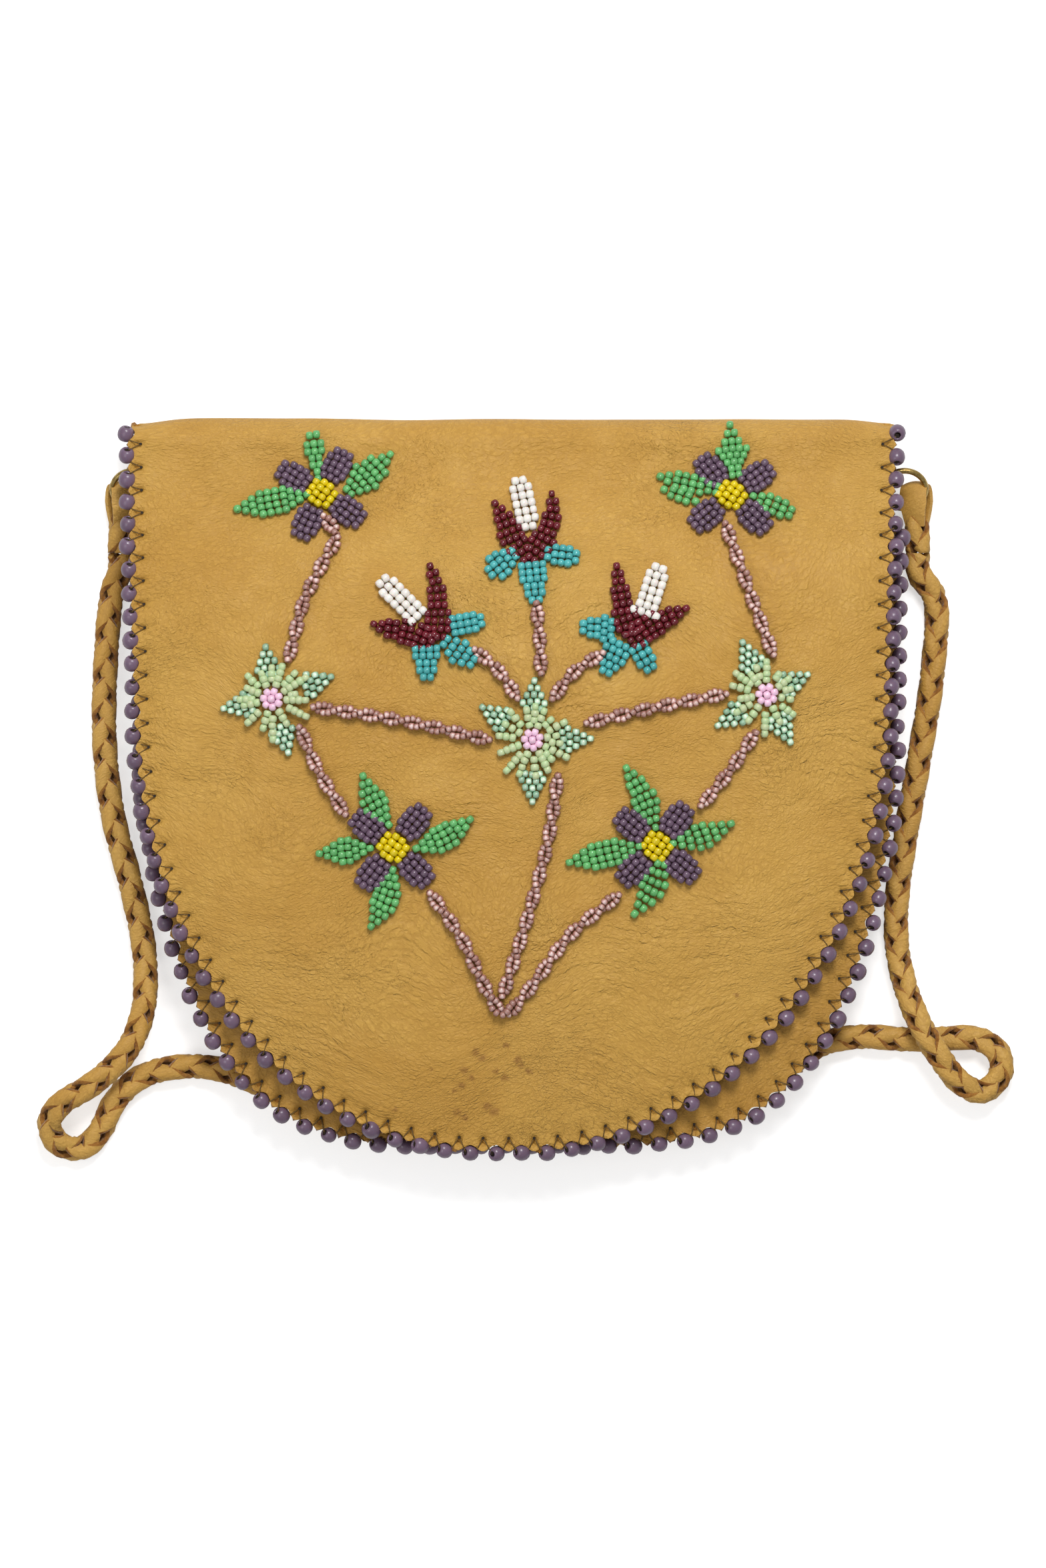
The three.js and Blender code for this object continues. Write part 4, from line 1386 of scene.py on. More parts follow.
class Axis:
    """A line on the flap that rows of beads stand across."""

    def __init__(self, points: Sequence[Point2], bow: float = 0.0) -> None:
        """Take the line's points.

        Args:
            points: Two or more points.
            bow: How far the line bends to its left.
        """
        places = np.array(points, dtype=float)
        if len(places) == 2:
            share = np.linspace(0, 1, 9)[:, None]
            run = places[1] - places[0]
            side = np.array([-run[1], run[0]]) / np.linalg.norm(run)
            places = places[0] + run * share + side * bow * np.sin(math.pi * share)
        steps = np.linalg.norm(np.diff(places, axis=0), axis=1)
        self.places = places
        self.far = np.concatenate([[0.0], np.cumsum(steps)])

    @property
    def length(self) -> float:
        """Give the line's length."""
        return float(self.far[-1])

    def at(self, distance: float) -> tuple[Array, Array]:
        """Find a place on the line.

        Args:
            distance: How far along it is.

        Returns:
            The place, and the direction of travel.
        """
        def spot(far: float) -> Array:
            """Interpolate along the line."""
            return np.array([np.interp(far, self.far, self.places[:, k]) for k in (0, 1)])

        ahead, behind = spot(distance + 0.6), spot(distance - 0.6)
        return spot(distance), (ahead - behind) / max(np.linalg.norm(ahead - behind), 1e-6)


def lay_rows(beads: BeadField, axis: Axis, counts: Sequence[int], spacing: float = 2.15,
             lift: float = 1.45, curl: float = 0.0, dome: float = 0.0) -> None:
    """Fill a strip with rows of beads across its axis.

    Args:
        beads: The field that the beads join.
        axis: The strip's middle line.
        counts: Beads in each row, from the root to the tip.
        spacing: Distance between beads in a row.
        lift: Height of the beads' middles above the hide.
        curl: How far the ends of a row hang back.
        dome: How much higher the middle of the strip stands than its ends.
    """
    gap = axis.length / max(len(counts) - 1, 1)
    widest = max(counts) * spacing / 2
    for row, count in enumerate(counts):
        place, along = axis.at(row * gap)
        side = np.array([-along[1], along[0]])
        for index in range(count):
            off = (index - (count - 1) / 2) * spacing
            back = -curl * (off / spacing) ** 2
            spot = place + side * off + along * back
            reach = math.hypot(off / widest, 2 * row * gap / axis.length - 1)
            high = lift + dome * max(1 - reach**2, 0.0)
            lay_bead(beads, (spot[0], spot[1]), (side[0], side[1]), high)


def polar(centre: Point2, radius: float, degrees: float) -> Point2:
    """Find a point round a centre.

    Args:
        centre: The centre.
        radius: Distance from it.
        degrees: Direction, from +X towards +Y.

    Returns:
        The point.
    """
    angle = math.radians(degrees)
    return (centre[0] + radius * math.cos(angle), centre[1] + radius * math.sin(angle))


@dataclass(frozen=True)
class Leaf:
    """A leaf of a flower: its root, tip, beads in each row, and how far it bends."""

    root: Point2
    tip: Point2
    counts: tuple[int, ...]
    bow: float = 0.0
    lobes: tuple["Leaf", ...] = ()


@dataclass(frozen=True)
class Flower:
    """Four petals round a domed middle, with leaves between them."""

    name: str
    centre: Point2
    petals: tuple[float, ...]
    leaves: tuple[Leaf, ...]
    turn: float = 145.0
    petal_rows: tuple[int, ...] = (3, 4, 4, 4, 3)
    petal_root: float = 5.7
    row_pitch: float = 2.15
    middle_reach: float = 3.3
    middle_rows: tuple[int, ...] = (3, 4, 4, 3)

    def build(self, seed: int) -> None:
        """Bead the petals, the middle and the leaves.

        Args:
            seed: What the beads' small differences start from.
        """
        beads = BeadField(SEED_SHAPE, seed)
        for angle in self.petals:
            end = self.petal_root + self.row_pitch * (len(self.petal_rows) - 1)
            line = [polar(self.centre, radius, angle) for radius in (self.petal_root, end)]
            lay_rows(beads, Axis(line), self.petal_rows, 2.12, curl=0.2)
        name = f"flower_{self.name}"
        beads.build(name + "_petals", PLUM_BEADS, Body.FLAP, (name + "_petals",), "plum_beads")
        middle = BeadField(SEED_SHAPE, seed + 1)
        line = [polar(self.centre, self.middle_reach, self.turn + half) for half in (180, 0)]
        lay_rows(middle, Axis(line), self.middle_rows, 2.1, lift=1.5, dome=0.9)
        middle.build(name + "_middle", YELLOW_BEADS, Body.FLAP, (name + "_middle",), "yellow_beads")
        for index, leaf in enumerate(self.leaves, 1):
            green = BeadField(SEED_SHAPE, seed + 2 + index)
            for lobe in (leaf, *leaf.lobes):
                lay_rows(green, Axis([lobe.root, lobe.tip], lobe.bow), lobe.counts, 2.1, curl=0.1)
            node = f"{name}_leaf_{index}"
            green.build(node, GREEN_BEADS, Body.FLAP, (node,), "green_beads")


@dataclass(frozen=True)
class Strip:
    """A strip of rows across a line."""

    points: tuple[Point2, ...]
    counts: tuple[int, ...]


@dataclass(frozen=True)
class Bud:
    """An open bud: two pointed arms, a stamen between them, and three sepals below."""

    name: str
    arms: tuple[Strip, ...]
    stamen: Strip
    sepals: tuple[Strip, ...]

    def build(self, seed: int) -> None:
        """Bead the cup, the stamen and the sepals.

        Args:
            seed: What the beads' small differences start from.
        """
        parts = (
            ("cup", self.arms, MAROON_BEADS, "maroon_beads", CUP_SHAPE, 2.05),
            ("stamen", (self.stamen,), WHITE_BEADS, "white_beads", STAMEN_SHAPE, 2.35),
            ("sepals", self.sepals, TURQUOISE_BEADS, "turquoise_beads", SEED_SHAPE, 2.15),
        )
        for offset, (part, strips, finish, slot, shape, spacing) in enumerate(parts):
            beads = BeadField(shape, seed + offset)
            for strip in strips:
                lay_rows(beads, Axis(strip.points), strip.counts, spacing)
            node = f"bud_{self.name}_{part}"
            beads.build(node, finish, Body.FLAP, (node,), slot)


@dataclass(frozen=True)
class Rosette:
    """Rays of strung beads round a pink middle, with four small leaves among them."""

    name: str
    centre: Point2
    rays: tuple[tuple[float, float], ...]
    leaves: tuple[Point2, ...]
    leaf_rows: tuple[int, ...] = (3, 4, 3, 2, 1)
    leaf_length: float = 8.0
    ray_roots: Point2 = (5.9, 4.5)
    ray_pitch: float = 2.0
    middle_radius: float = 2.3
    middle_beads: int = 7

    def build(self, seed: int) -> None:
        """Bead the rays, the leaves and the middle.

        Args:
            seed: What the beads' small differences start from.
        """
        name = f"rosette_{self.name}"
        rays = BeadField(RAY_SHAPE, seed)
        for index, (angle, reach) in enumerate(self.rays):
            root = self.ray_roots[index % 2]
            count = max(2, round((reach - root) / self.ray_pitch) + 1)
            direction = (math.cos(math.radians(angle)), math.sin(math.radians(angle)))
            for step in range(count):
                radius = root + (reach - root) * step / (count - 1)
                last = step == count - 1
                across = (-direction[1], direction[0]) if last else direction
                lift = 1.35 + 0.6 * math.sin(math.pi * (step + 0.4) / count)
                lay_bead(rays, polar(self.centre, radius, angle), across, lift)
        rays.build(name + "_rays", SAGE_BEADS, Body.FLAP, (name + "_rays",), "pale_green_beads")
        leaves = BeadField(LUSTRE_SHAPE, seed + 1)
        for tip in self.leaves:
            run = np.array(tip) - self.centre
            reach = float(np.linalg.norm(run))
            root = np.array(self.centre) + run * (reach - self.leaf_length) / reach
            lay_rows(leaves, Axis([tuple(root), tip]), self.leaf_rows, 2.15, 1.2, curl=0.25)
        leaves.build(name + "_leaves", LUSTRE_BEADS, Body.FLAP, (), "pale_green_beads")
        middle = BeadField(SEED_SHAPE, seed + 2)
        for step in range(self.middle_beads):
            angle = step * 360 / self.middle_beads + 20
            direction = (-math.sin(math.radians(angle)), math.cos(math.radians(angle)))
            lay_bead(middle, polar(self.centre, self.middle_radius, angle), direction, 1.9)
        lay_bead(middle, self.centre, (1.0, 0.2), 2.4)
        middle.build(name + "_middle", PINK_BEADS, Body.FLAP, (name + "_middle",), "pink_beads")


@dataclass(frozen=True)
class Stem:
    """Two strands of small lined beads, twisted round each other."""

    name: str
    points: tuple[Point2, ...]
    twist: float = 6.9
    spread: float = 1.2
    pitch: float = 1.66

    def build(self, seed: int) -> None:
        """Bead both strands.

        Args:
            seed: What the beads' small differences start from.
        """
        line = catmull([(x, y, 0.0) for x, y in self.points], 24)
        axis = Axis([(x, y) for x, y, _ in line])
        beads = BeadField(STEM_SHAPE, seed)
        turns = max(round(axis.length / self.twist), 1)
        count = round(axis.length / self.pitch * 1.06)
        for strand in (1, -1):
            spots = []
            for step in range(count + 1):
                share = step / count
                place, along = axis.at(share * axis.length)
                phase = share * turns * math.pi
                off = strand * self.spread * math.sin(phase)
                lift = 1.75 + strand * 0.8 * math.cos(phase)
                spots.append(on_flap(place[0] - along[1] * off, place[1] + along[0] * off, lift))
            for index, (centre, normal) in enumerate(spots):
                ahead = spots[min(index + 1, count)][0] - spots[max(index - 1, 0)][0]
                beads.add(centre, ahead.normalized(), normal, 1.0, 0.8)
        node = f"stem_{self.name}"
        beads.build(node, MAUVE_BEADS, Body.FLAP, (node,), "mauve_beads")


def catmull(points: Sequence[Point3], steps: int) -> Array:
    """Draw the centripetal curve through points, as the solid strap follows it.

    Args:
        points: The points.
        steps: Samples between two points.

    Returns:
        Places on the curve, one to a row.
    """
    places = np.array(points, dtype=float)
    before, after = 2 * places[0] - places[1], 2 * places[-1] - places[-2]
    places = np.vstack([before, places, after])
    samples = []
    for index in range(1, len(places) - 2):
        p0, p1, p2, p3 = places[index - 1:index + 3]
        pairs = ((p0, p1), (p1, p2), (p2, p3))
        g0, g1, g2 = (max(float(np.linalg.norm(b - a)) ** 0.5, 1e-4) for a, b in pairs)
        first = ((p1 - p0) / g0 - (p2 - p0) / (g0 + g1) + (p2 - p1) / g1) * g1
        last = ((p2 - p1) / g1 - (p3 - p1) / (g1 + g2) + (p3 - p2) / g2) * g1
        for step in range(steps):
            t = step / steps
            samples.append(p1 + first * t + (-3 * p1 + 3 * p2 - 2 * first - last) * t**2
                           + (2 * p1 - 2 * p2 + first + last) * t**3)
    return np.vstack([samples, places[-2]])


# Strap


STRAP_REST = STRAP_WIDTH / 2 + 0.3
STRAP_HUMP = STRAP_REST + STRAP_WIDTH + 0.6
STRAP_END_LENGTH = 15.0
STRAP_END_WALL = 1.5
STRAP_ON_RING = -48.0
STRAP_END_ARC = 42.0
RING_REACH = 2.7

STRAP_ROUTE: tuple[Point3, ...] = (
    (-122.4, 60.0, STRAP_REST),
    (-124.4, 40.0, STRAP_REST),
    (-124.8, 14.0, STRAP_REST),
    (-122.2, -8.0, STRAP_REST),
    (-117.0, -28.0, STRAP_REST),
    (-113.2, -46.0, STRAP_REST),
    (-112.4, -58.0, STRAP_REST + 1.8),
    (-113.4, -68.0, STRAP_REST + 5.6),
    (-117.4, -77.6, STRAP_HUMP),
    (-123.6, -84.6, STRAP_HUMP),
    (-130.4, -89.8, STRAP_HUMP),
    (-137.4, -94.0, STRAP_HUMP - 1.4),
    (-141.3, -100.0, STRAP_REST + 4),
    (-138.6, -106.4, STRAP_REST + 1.4),
    (-131.8, -107.8, STRAP_REST),
    (-126.4, -103.0, STRAP_REST),
    (-122.2, -94.4, STRAP_REST),
    (-115.6, -87.4, STRAP_REST),
    (-106.0, -83.8, STRAP_REST),
    (-92.4, -83.6, STRAP_REST),
    (-78.0, -88.4, STRAP_REST),
    (-60.0, -95.4, STRAP_REST),
    (-30.0, -98.2, STRAP_REST),
    (0.0, -98.4, STRAP_REST),
    (30.0, -98.0, STRAP_REST),
    (60.0, -93.8, STRAP_REST),
    (78.4, -84.4, STRAP_REST),
    (92.4, -76.0, STRAP_REST),
    (104.0, -74.2, STRAP_REST),
    (116.0, -75.0, STRAP_REST),
    (128.0, -74.8, STRAP_REST),
    (138.0, -74.8, STRAP_REST),
    (144.4, -79.0, STRAP_REST + 0.6),
    (144.8, -85.8, STRAP_REST + 1.8),
    (139.6, -90.6, STRAP_REST + 3.4),
    (133.0, -88.2, STRAP_REST + 5.6),
    (128.0, -82.4, STRAP_HUMP - 0.6),
    (123.2, -75.2, STRAP_HUMP),
    (119.0, -67.0, STRAP_HUMP - 0.8),
    (115.8, -57.6, STRAP_REST + 4),
    (113.8, -47.0, STRAP_REST + 1.2),
    (113.8, -33.0, STRAP_REST),
    (116.4, -14.0, STRAP_REST),
    (120.6, 10.0, STRAP_REST),
    (124.6, 36.0, STRAP_REST),
    (125.2, 58.0, STRAP_REST),
)


@dataclass(frozen=True)
class RingPlace:
    """Where a ring hangs, and how the strap's end lies on it."""

    side: Side

    def point(self, degrees: float) -> Vector:
        """Find a point on the middle line of the ring's wire.

        Args:
            degrees: Direction from the ring's centre, 0 away from the bag.

        Returns:
            The point.
        """
        tilt = math.radians(RING_TILT)
        centre = float(BODY_OUTLINE.half(RING_Y, LEATHER_INSET)) - 3.0 + RING_RADIUS
        angle = math.radians(degrees)
        return Vector((
            self.side.value * (centre + RING_RADIUS * math.cos(angle)),
            RING_Y + RING_RADIUS * math.sin(angle) * math.sin(tilt),
            RING_HEIGHT + RING_RADIUS * math.sin(angle) * math.cos(tilt),
        ))

    def frame(self) -> Matrix:
        """Give the strap end's own axes: along the strap, up through it, and across it.

        Returns:
            The matrix from those axes to the bag's.
        """
        along = Vector((self.side.value * 0.03, -1, -0.03)).normalized()
        ends = [self.point(STRAP_ON_RING + sign * STRAP_END_ARC) for sign in (-1, 1)]
        cross = ends[1] - ends[0]
        cross = (cross - along * cross.dot(along)).normalized()
        up = cross.cross(along).normalized()
        origin = (ends[0] + ends[1]) / 4 + self.point(STRAP_ON_RING) / 2
        turn = Matrix((along, up, along.cross(up))).transposed().to_4x4()
        return Matrix.Translation(origin) @ turn

    def exit(self, more: float = 0.0) -> Vector:
        """Find the point where the strap leaves its end piece.

        Args:
            more: Distance past that point.

        Returns:
            The point.
        """
        return self.frame() @ Vector((STRAP_END_LENGTH + SEAM_GAP + more, 0, 0))


@dataclass
class BraidedStrap:
    """Four laces braided round each other, from one ring to the other."""

    facet: float = 12.2
    core: float = 2.75
    weave: float = 0.76
    lace: float = 5.3
    thickness: float = 1.4
    step: float = 1.1
    root: float = 13.0
    flatness: float = 0.86
    path: Array = field(default_factory=lambda: np.zeros((0, 3)))

    def route(self) -> None:
        """Lay the strap's middle line with its roots, in even steps."""
        left, right = RingPlace(Side.LEFT), RingPlace(Side.RIGHT)
        points = [left.exit(-self.root), left.exit(-self.root / 2), left.exit(), left.exit(6),
                  *STRAP_ROUTE, right.exit(6), right.exit(), right.exit(-self.root / 2),
                  right.exit(-self.root)]
        line = catmull([tuple(point) for point in points], 24)
        far = np.concatenate([[0.0], np.cumsum(np.linalg.norm(np.diff(line, axis=0), axis=1))])
        even = np.linspace(0, far[-1], int(far[-1] / self.step) + 1)
        self.path = np.stack([np.interp(even, far, line[:, k]) for k in range(3)], axis=1)

    @property
    def length(self) -> float:
        """Give the length of the middle line with its roots."""
        return float(np.linalg.norm(np.diff(self.path, axis=0), axis=1).sum())

    def section(self) -> list[Point2]:
        """Give a lace's section: across its width, and outwards."""
        half, thick = self.lace / 2, self.thickness / 2
        return [(-half * 0.82, thick), (0.0, thick + 0.14), (half * 0.82, thick),
                (half * 1.12, -0.1 * thick), (half * 0.96, -thick), (0.0, -thick),
                (-half * 0.96, -thick), (-half * 1.12, -0.1 * thick)]

    def lace_points(self, start: float, way: int, first: int, last: int) -> Array:
        """Wind one lace round the core between two stations, where it is cut square.

        Args:
            start: Its angle at the start of the strap, in degrees.
            way: 1 or -1, the sense in which it winds.
            first: The first station.
            last: The last station.

        Returns:
            Points by station and by place in the section.
        """
        path = self.path
        far = np.arange(len(path)) * self.length / (len(path) - 1)
        tangent = np.gradient(path, axis=0)
        tangent /= np.linalg.norm(tangent, axis=1)[:, None]
        side = np.stack([tangent[:, 1], -tangent[:, 0], 0 * far], axis=1)
        side /= np.linalg.norm(side, axis=1)[:, None]
        up = np.cross(side, tangent)
        rate = way * math.pi / self.facet
        slant = math.atan2(self.core * math.pi / self.facet, 1.0)
        drawn_in = 0.55 + 0.45 * smooth(np.minimum(far, far[-1] - far) / 5.0)
        rings = []
        for width, out in self.section():
            shift = -way * width * math.sin(slant)
            angle = math.radians(start) + rate * far + width * math.cos(slant) / (self.core + 0.4)
            weave = -way * self.weave * np.sin(2 * angle)
            radius = (self.core + weave + out) * drawn_in
            within = np.clip(far + shift, far[first], far[last])
            place = np.stack([np.interp(within, far, path[:, k]) for k in range(3)], axis=1)
            ring = (place + side * (np.cos(angle) * radius)[:, None]
                    + up * (np.sin(angle) * radius * self.flatness)[:, None])
            rings.append(ring[first:last + 1])
        return np.stack(rings, axis=1)

    def part(self, name: str, first: int, last: int, node: str) -> bpy.types.Object:
        """Make the braid between two stations.

        Args:
            name: The piece's name.
            first: The first station.
            last: The last station.
            node: The solid that the part stands for.

        Returns:
            The finished piece.
        """
        bm = bmesh.new()
        for start, way in ((90, 1), (270, 1), (0, -1), (180, -1)):
            stations = self.lace_points(start, way, first, last)
            rings = [[bm.verts.new(point) for point in station] for station in stations]
            size = len(rings[0])
            for one, two in zip(rings, rings[1:]):
                for k in range(size):
                    nxt = (k + 1) % size
                    face = bm.faces.new((one[k], one[nxt], two[nxt], two[k]))
                    face.material_index = 0 if k in (0, 1) else 1
            bm.faces.new(rings[0])
            bm.faces.new(rings[-1])
        bmesh.ops.recalc_face_normals(bm, faces=bm.faces)
        return finish_piece(name, to_mesh(bm, name), (LACE_HIDE, CUT_EDGE), Body.BAG, (node,))

    def build(self) -> None:
        """Make the braid as one piece, and its roots on the rings."""
        self.route()
        end = len(self.path) - 1
        root = round(end * self.root / self.length)
        self.part("strap_end_left", 0, root, "strap_end_left")
        self.part("strap_end_right", end - root, end, "strap_end_right")
        piece = self.part("braided_strap", root, end - root, "strap")


@dataclass
class StrapHardware:
    """A brass ring and the leather loop that holds the strap on it."""

    side: Side
    width: float = 8.6
    reach: float = 7.5

    def build(self) -> None:
        """Make the ring and the loop."""
        name = self.side.name.lower()
        place = RingPlace(self.side)
        self.ring(name, place)
        self.loop(name, place)

    def ring(self, name: str, place: RingPlace) -> None:
        """Spin the ring's wire round its centre.

        Args:
            name: The side's name.
            place: Where the ring hangs.
        """
        bm = bmesh.new()
        upright = Matrix.Translation((RING_RADIUS, 0, 0)) @ Matrix.Rotation(math.pi / 2, 4, "X")
        bmesh.ops.create_circle(bm, segments=12, radius=RING_WIRE / 2, matrix=upright)
        bmesh.ops.spin(bm, geom=bm.verts[:] + bm.edges[:], cent=(0, 0, 0), axis=(0, 0, 1),
                       dvec=(0, 0, 0), angle=2 * math.pi, steps=48, use_merge=True)
        bmesh.ops.remove_doubles(bm, verts=bm.verts, dist=0.001)
        bmesh.ops.recalc_face_normals(bm, faces=bm.faces)
        centre = (place.point(0) + place.point(180)) / 2
        turn = Matrix.Rotation(math.radians(90 - RING_TILT), 4, "X")
        bmesh.ops.transform(bm, matrix=Matrix.Translation(centre) @ turn, verts=bm.verts)
        node = f"strap_ring_{name}"
        finish_piece(node, to_mesh(bm, node), (BRASS,), Body.BAG, (node,))

    def loop(self, name: str, place: RingPlace) -> None:
        """Fold a lace over the wire and bind it.

        Args:
            name: The side's name.
            place: Where the ring hangs.
        """
        sag = RING_RADIUS * (1 - math.cos(math.radians(STRAP_END_ARC)))
        slot = (RING_WIRE + sag) / 2 + SEAM_GAP
        outer = slot + STRAP_END_WALL
        turns = [math.pi / 2 + math.pi * step / 10 for step in range(11)]
        flat = ((self.reach, outer - 1.6), (5.0, outer - 0.7), (2.5, outer), (0.0, outer + 0.1))
        path = [*flat, *((-RING_REACH + outer * math.cos(a), outer * math.sin(a)) for a in turns)]
        path += [(x, -y) for x, y in flat[::-1]]
        bm = bmesh.new()
        line = [bm.verts.new((x, y, -self.width / 2)) for x, y in path]
        edges = [bm.edges.new(pair) for pair in zip(line, line[1:])]
        for _ in range(8):
            made = bmesh.ops.extrude_edge_only(bm, edges=edges)["geom"]
            edges = [item for item in made if isinstance(item, bmesh.types.BMEdge)]
            moved = [item for item in made if isinstance(item, bmesh.types.BMVert)]
            bmesh.ops.translate(bm, verts=moved, vec=(0, 0, self.width / 8))
        for vertex in bm.verts:
            vertex.co.z *= 1 - 0.3 * min(max(vertex.co.x, 0.0) / self.reach, 1.0)
            vertex.co.y *= 1 - 0.012 * vertex.co.z**2
            vertex.co.x += 0.06 * vertex.co.z**2 if vertex.co.x < 0 else 0.0
        bmesh.ops.recalc_face_normals(bm, faces=bm.faces)
        bmesh.ops.transform(bm, matrix=place.frame(), verts=bm.verts)
        title = f"strap_loop_{name}"
        piece = finish_piece(title, to_mesh(bm, title), (LACE_HIDE, LACE_HIDE), Body.BAG, ())
        thicken(piece, STRAP_END_WALL - 0.2)


# The studio


@dataclass
class Studio:
    """Floor, light and camera."""

    frame_height: float = 470.2
    frame_level: float = 16.0
    distance: float = 2600.0
    centre: Point2 = (1.2, 1.9)
    sensor: float = 36.0
    floor_half: float = 3000.0

    def camera(self) -> None:
        """Look straight down, with the photograph's frame at the height of the flap."""
        data = bpy.data.cameras.new("camera")
        data.sensor_fit = "VERTICAL"
        data.sensor_height = self.sensor
        data.lens = self.sensor * (self.distance - self.frame_level) / self.frame_height
        data.clip_end = 20.0
        view = bpy.data.objects.new("camera", data)
        view.location = (self.centre[0] * MM, self.centre[1] * MM, self.distance * MM)
        bpy.context.scene.collection.objects.link(view)
        bpy.context.scene.camera = view

    def floor(self) -> None:
        """Lay the pale floor."""
        bm = bmesh.new()
        bmesh.ops.create_grid(bm, x_segments=2, y_segments=2, size=self.floor_half)
        mesh = to_mesh(bm, "floor")
        mesh.transform(Matrix.Scale(MM, 4))
        shader = Shader("floor_paper")
        seen = shader.add("LightPath").outputs["Is Camera Ray"]
        paper = shader.add("BsdfDiffuse", Color=srgb(236, 236, 236))
        white = shader.add("Emission", Color=(1, 1, 1, 1), Strength=0.55)
        both = shader.add("AddShader", i0=paper.outputs[0], i1=white.outputs[0])
        pick = shader.add("MixShader", i0=seen, i1=paper.outputs[0], i2=both.outputs[0])
        shader.tree.links.new(pick.outputs[0], shader.output.inputs["Surface"])
        mesh.materials.append(shader.material)
        floor = bpy.data.objects.new("floor", mesh)
        bpy.context.scene.collection.objects.link(floor)

    def lights(self) -> None:
        """Hang one large soft lamp beyond the fold, a weaker one at the left, and a pale sky."""
        world = bpy.data.worlds.new("studio")
        world.use_nodes = True
        sky = world.node_tree.nodes["Background"]
        sky.inputs["Color"].default_value = (1.0, 1.0, 1.0, 1.0)
        sky.inputs["Strength"].default_value = 0.38
        bpy.context.scene.world = world
        for name, place, size, power in (
            ("key", (140, 800, 1200), 560, 14.0),
            ("fill", (-700, -300, 1300), 900, 3.6),
        ):
            data = bpy.data.lights.new(name, "AREA")
            data.shape = "DISK"
            data.size = size * MM
            data.energy = power
            lamp = bpy.data.objects.new(name, data)
            lamp.location = Vector(place) * MM
            aim = Vector((0, 0, 20)) - Vector(place)
            lamp.rotation_euler = aim.to_track_quat("-Z", "Y").to_euler()
            bpy.context.scene.collection.objects.link(lamp)
        bpy.context.scene.view_settings.view_transform = "Standard"

    def build(self) -> None:
        """Set the studio up."""
        self.camera()
        self.floor()
        self.lights()


FLOWERS = (
    Flower("upper_left", (-59.2, 88.4), (148, 62, -35, -115), (
        Leaf((-60.2, 93.0), (-61.8, 106.0), (1, 1, 2, 2, 3, 3, 2)),
        Leaf((-63.5, 88.0), (-84.2, 83.7), (1, 2, 3, 4, 4, 4, 4, 3, 2, 1)),
        Leaf((-50.8, 89.0), (-38.6, 100.6), (2, 3, 4, 5, 4, 4, 2, 1)),
    )),
    Flower("upper_right", (63.5, 87.9), (128, 36, -45, -140), (
        Leaf((64.9, 94.2), (63.3, 108.6), (2, 2, 3, 4, 5, 3, 2, 1)),
        Leaf((70.1, 87.6), (81.2, 82.6), (1, 2, 3, 3, 3, 2)),
        Leaf((59.2, 89.6), (42.4, 93.6), (2, 2, 3, 3, 3, 3, 2, 1),
             lobes=(Leaf((52.8, 85.9), (43.4, 89.6), (1, 2, 2, 2, 1)),)),
    )),
    Flower("lower_left", (-37.4, -16.9), (141, 50, -45, -128), (
        Leaf((-38.6, -10.2), (-46.3, 4.3), (1, 2, 3, 4, 4, 3, 2, 1), 0.8),
        Leaf((-30.4, -17.2), (-14.6, -8.7), (1, 2, 3, 4, 4, 4, 3, 2, 1), -1.0),
        Leaf((-44.2, -17.2), (-59.2, -18.8), (1, 2, 3, 4, 4, 3, 2, 1)),
        Leaf((-37.4, -23.6), (-43.9, -40.4), (1, 2, 3, 4, 4, 4, 3, 2, 1), 1.0),
    )),
    Flower("lower_right", (40.9, -16.6), (139.5, 53, -39, -135), (
        Leaf((40.5, -11.0), (31.9, 6.6), (1, 2, 3, 4, 4, 3, 3, 2, 1), -0.8),
        Leaf((35.6, -16.6), (15.0, -21.4), (1, 2, 3, 4, 4, 4, 4, 3, 2, 1)),
        Leaf((45.7, -15.8), (62.9, -9.9), (1, 2, 3, 4, 4, 3, 2, 1), -0.8),
        Leaf((42.2, -21.9), (34.3, -36.7), (2, 3, 4, 4, 3, 2, 1), 1.0),
    )),
)

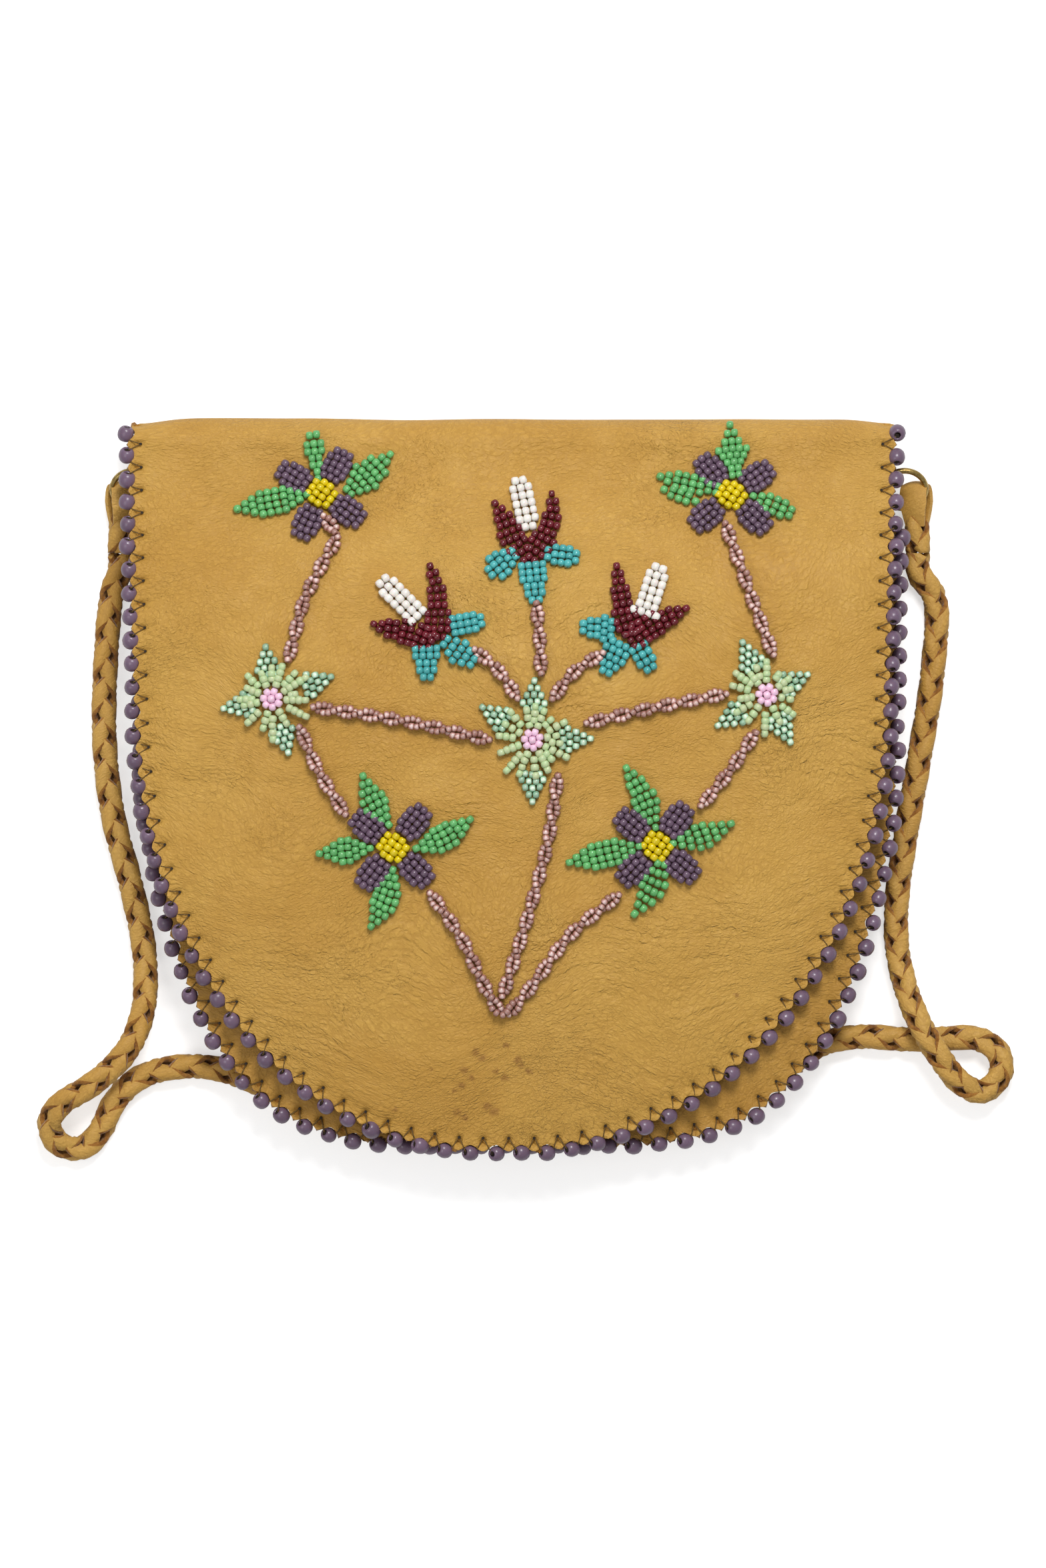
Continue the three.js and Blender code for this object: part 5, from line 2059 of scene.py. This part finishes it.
BUDS = (
    Bud(
        "left",
        (
            Strip(((-26.5, 66.3), (-24.8, 61.8), (-24.2, 56.3), (-24.0, 50.9), (-24.4, 45.5)),
                  (1, 2, 2, 3, 3, 3, 4, 4, 4, 3)),
            Strip(((-43.2, 49.3), (-39.8, 48.0), (-35.5, 47.4), (-31.3, 46.4), (-26.0, 44.2)),
                  (1, 2, 3, 3, 4, 4, 4, 4, 3)),
        ),
        Strip(((-30.2, 51.6), (-40.6, 62.0)), (3, 3, 3, 3, 3, 3, 2)),
        (
            Strip(((-19.4, 48.7), (-11.2, 50.3)), (3, 3, 3, 3, 2)),
            Strip(((-21.8, 44.0), (-13.8, 38.0)), (2, 3, 4, 3, 2)),
            Strip(((-27.6, 41.9), (-27.3, 33.6)), (4, 4, 3, 3, 2)),
        ),
    ),
    Bud(
        "middle",
        (
            Strip(((-7.2, 85.2), (-4.9, 81.6), (-3.2, 77.4), (-1.4, 73.2), (2.2, 68.6)),
                  (1, 2, 3, 3, 4, 4, 4, 3, 2)),
            Strip(((9.8, 88.2), (10.3, 83.7), (9.3, 78.7), (7.4, 74.2), (3.8, 68.6)),
                  (1, 2, 2, 3, 3, 3, 4, 4, 3, 2)),
        ),
        Strip(((3.0, 78.2), (0.0, 92.4)), (2, 3, 3, 3, 3, 3, 2)),
        (
            Strip(((-1.6, 69.9), (-8.6, 64.5)), (2, 3, 4, 4, 2)),
            Strip(((8.6, 70.0), (17.0, 69.0)), (2, 3, 3, 3, 2)),
            Strip(((3.9, 66.6), (5.0, 56.4)), (4, 4, 4, 3, 3, 2)),
        ),
    ),
    Bud(
        "right",
        (
            Strip(((29.1, 66.3), (29.6, 61.8), (30.7, 56.3), (31.6, 51.5), (33.4, 46.7)),
                  (1, 2, 2, 3, 3, 3, 4, 4, 4, 3)),
            Strip(((49.6, 53.9), (45.4, 51.8), (41.2, 49.7), (37.4, 47.5), (33.2, 44.4)),
                  (1, 2, 3, 3, 4, 4, 4, 4, 3)),
        ),
        Strip(((37.4, 52.6), (41.8, 65.8)), (4, 3, 3, 3, 3, 3, 2)),
        (
            Strip(((27.4, 47.8), (19.2, 48.3)), (3, 4, 3, 3, 2)),
            Strip(((29.8, 43.4), (25.8, 35.2)), (3, 4, 4, 3, 2)),
            Strip(((35.4, 42.4), (39.0, 36.2)), (3, 3, 3, 2)),
        ),
    ),
)

ROSETTES = (
    Rosette(
        "left", (-73.4, 27.2),
        ((90, 9), (72, 10), (48, 10), (32, 11.8), (12, 7), (-2, 10), (-27, 11.3), (-59, 8.5),
         (-88, 12), (-106, 8.9), (-135, 9.9), (-167, 8.3), (181, 9.3), (156, 7.9), (136, 9.7),
         (112, 8)),
        ((-75.3, 42.5), (-55.9, 33.7), (-87.8, 24.4), (-68.5, 11.3)),
    ),
    Rosette(
        "middle", (4.0, 15.0),
        ((29, 10.6), (10, 7.2), (-7, 8.2), (-27, 11.2), (-45, 8), (-63, 9.9), (-85, 10.6),
         (-111, 10.7), (-130, 11.8), (-158, 10), (173, 9.9), (150, 9.3), (128, 10.5), (101, 9),
         (85, 10), (68, 9.2), (48, 8)),
        ((-10.8, 24.7), (4.6, 32.5), (21.2, 15.4), (4.0, -3.3)),
    ),
    Rosette(
        "right", (73.5, 28.4),
        ((145, 11), (128, 7.5), (111, 8.6), (90, 9.7), (60, 6.9), (36, 8), (14, 7.2), (-10, 7.2),
         (-36, 9.5), (-64, 8.9), (-93, 11.4), (-125, 9.2), (-150, 10.3), (-172, 7.6), (165, 10.3)),
        ((66.5, 43.9), (85.8, 34.5), (59.2, 19.4), (80.6, 14.5)),
    ),
)

STEMS = (
    Stem("upper_left", ((-58.4, 81.0), (-54.6, 75.5), (-57.6, 68.9), (-60.1, 64.1), (-63.7, 56.9),
                        (-66.7, 46.0), (-68.5, 38.8))),
    Stem("upper_right", ((61.6, 78.8), (68.2, 60.0), (75.6, 40.2))),
    Stem("rosette_left", ((-61.0, 24.8), (-34.0, 20.6), (-8.8, 15.0))),
    Stem("rosette_right", ((20.0, 20.0), (40.0, 24.6), (61.4, 28.8))),
    Stem("bud_left", ((-13.2, 41.6), (-5.6, 35.0), (-0.4, 27.4))),
    Stem("bud_middle", ((5.2, 55.2), (6.1, 45.0), (6.6, 34.6))),
    Stem("bud_right", ((24.9, 40.6), (16.2, 35.0), (9.9, 27.2))),
    Stem("lower_left", ((-65.2, 18.8), (-59.0, 5.0), (-51.4, -7.2))),
    Stem("lower_right", ((70.2, 17.2), (62.0, 5.2), (53.9, -4.6))),
    Stem("root_middle", ((11.6, 4.4), (8.8, -14.0), (2.4, -38.0), (-4.9, -61.0))),
    Stem("root", ((-26.4, -30.4), (-17.0, -44.0), (-9.2, -60.0), (-4.4, -66.4), (2.2, -60.0),
                  (15.0, -43.0), (29.6, -31.0))),
)

PANELS = (
    FoldedFlap("flap_leather", FLAP_OUTLINE, FLAP_EDGE, flap_centre, flap_top, FOLD_START,
               FLAP_HIDE, ("flap",), 110, 380),
    LeatherPanel("front_leather", BODY_OUTLINE, BODY_EDGE, body_centre, front_top, MOUTH_Y,
                 SHADED_BODY_HIDE, ("front_panel",), 80, 260),
    LeatherPanel("back_leather", BODY_OUTLINE, BODY_EDGE, body_centre, back_under, FOLD_START,
                 SHADED_BODY_HIDE, ("back_panel",), 80, 260, faces_up=False, ripple=0.0),
)


def main() -> None:
    """Build the studio, the strap, the leather, the edges and the beadwork, in that order."""
    logging.basicConfig(level=logging.INFO, format="%(name)s %(message)s")
    Studio().build()
    BraidedStrap().build()
    for side in Side:
        StrapHardware(side).build()
    for panel in PANELS:
        panel.build()
    EdgeBeading("flap_edge_beads", FLAP_EDGE, flap_top, Body.FLAP, "flap_bead_edging", SEED).build()
    EdgeBeading("body_edge_beads", BODY_EDGE, front_top, Body.BAG, "body_bead_edging", SEED + 7,
                both_faces=back_under).build()
    for index, design in enumerate((*FLOWERS, *BUDS, *ROSETTES, *STEMS)):
        design.build(100 + 10 * index)


if __name__ == "__main__":
    main()
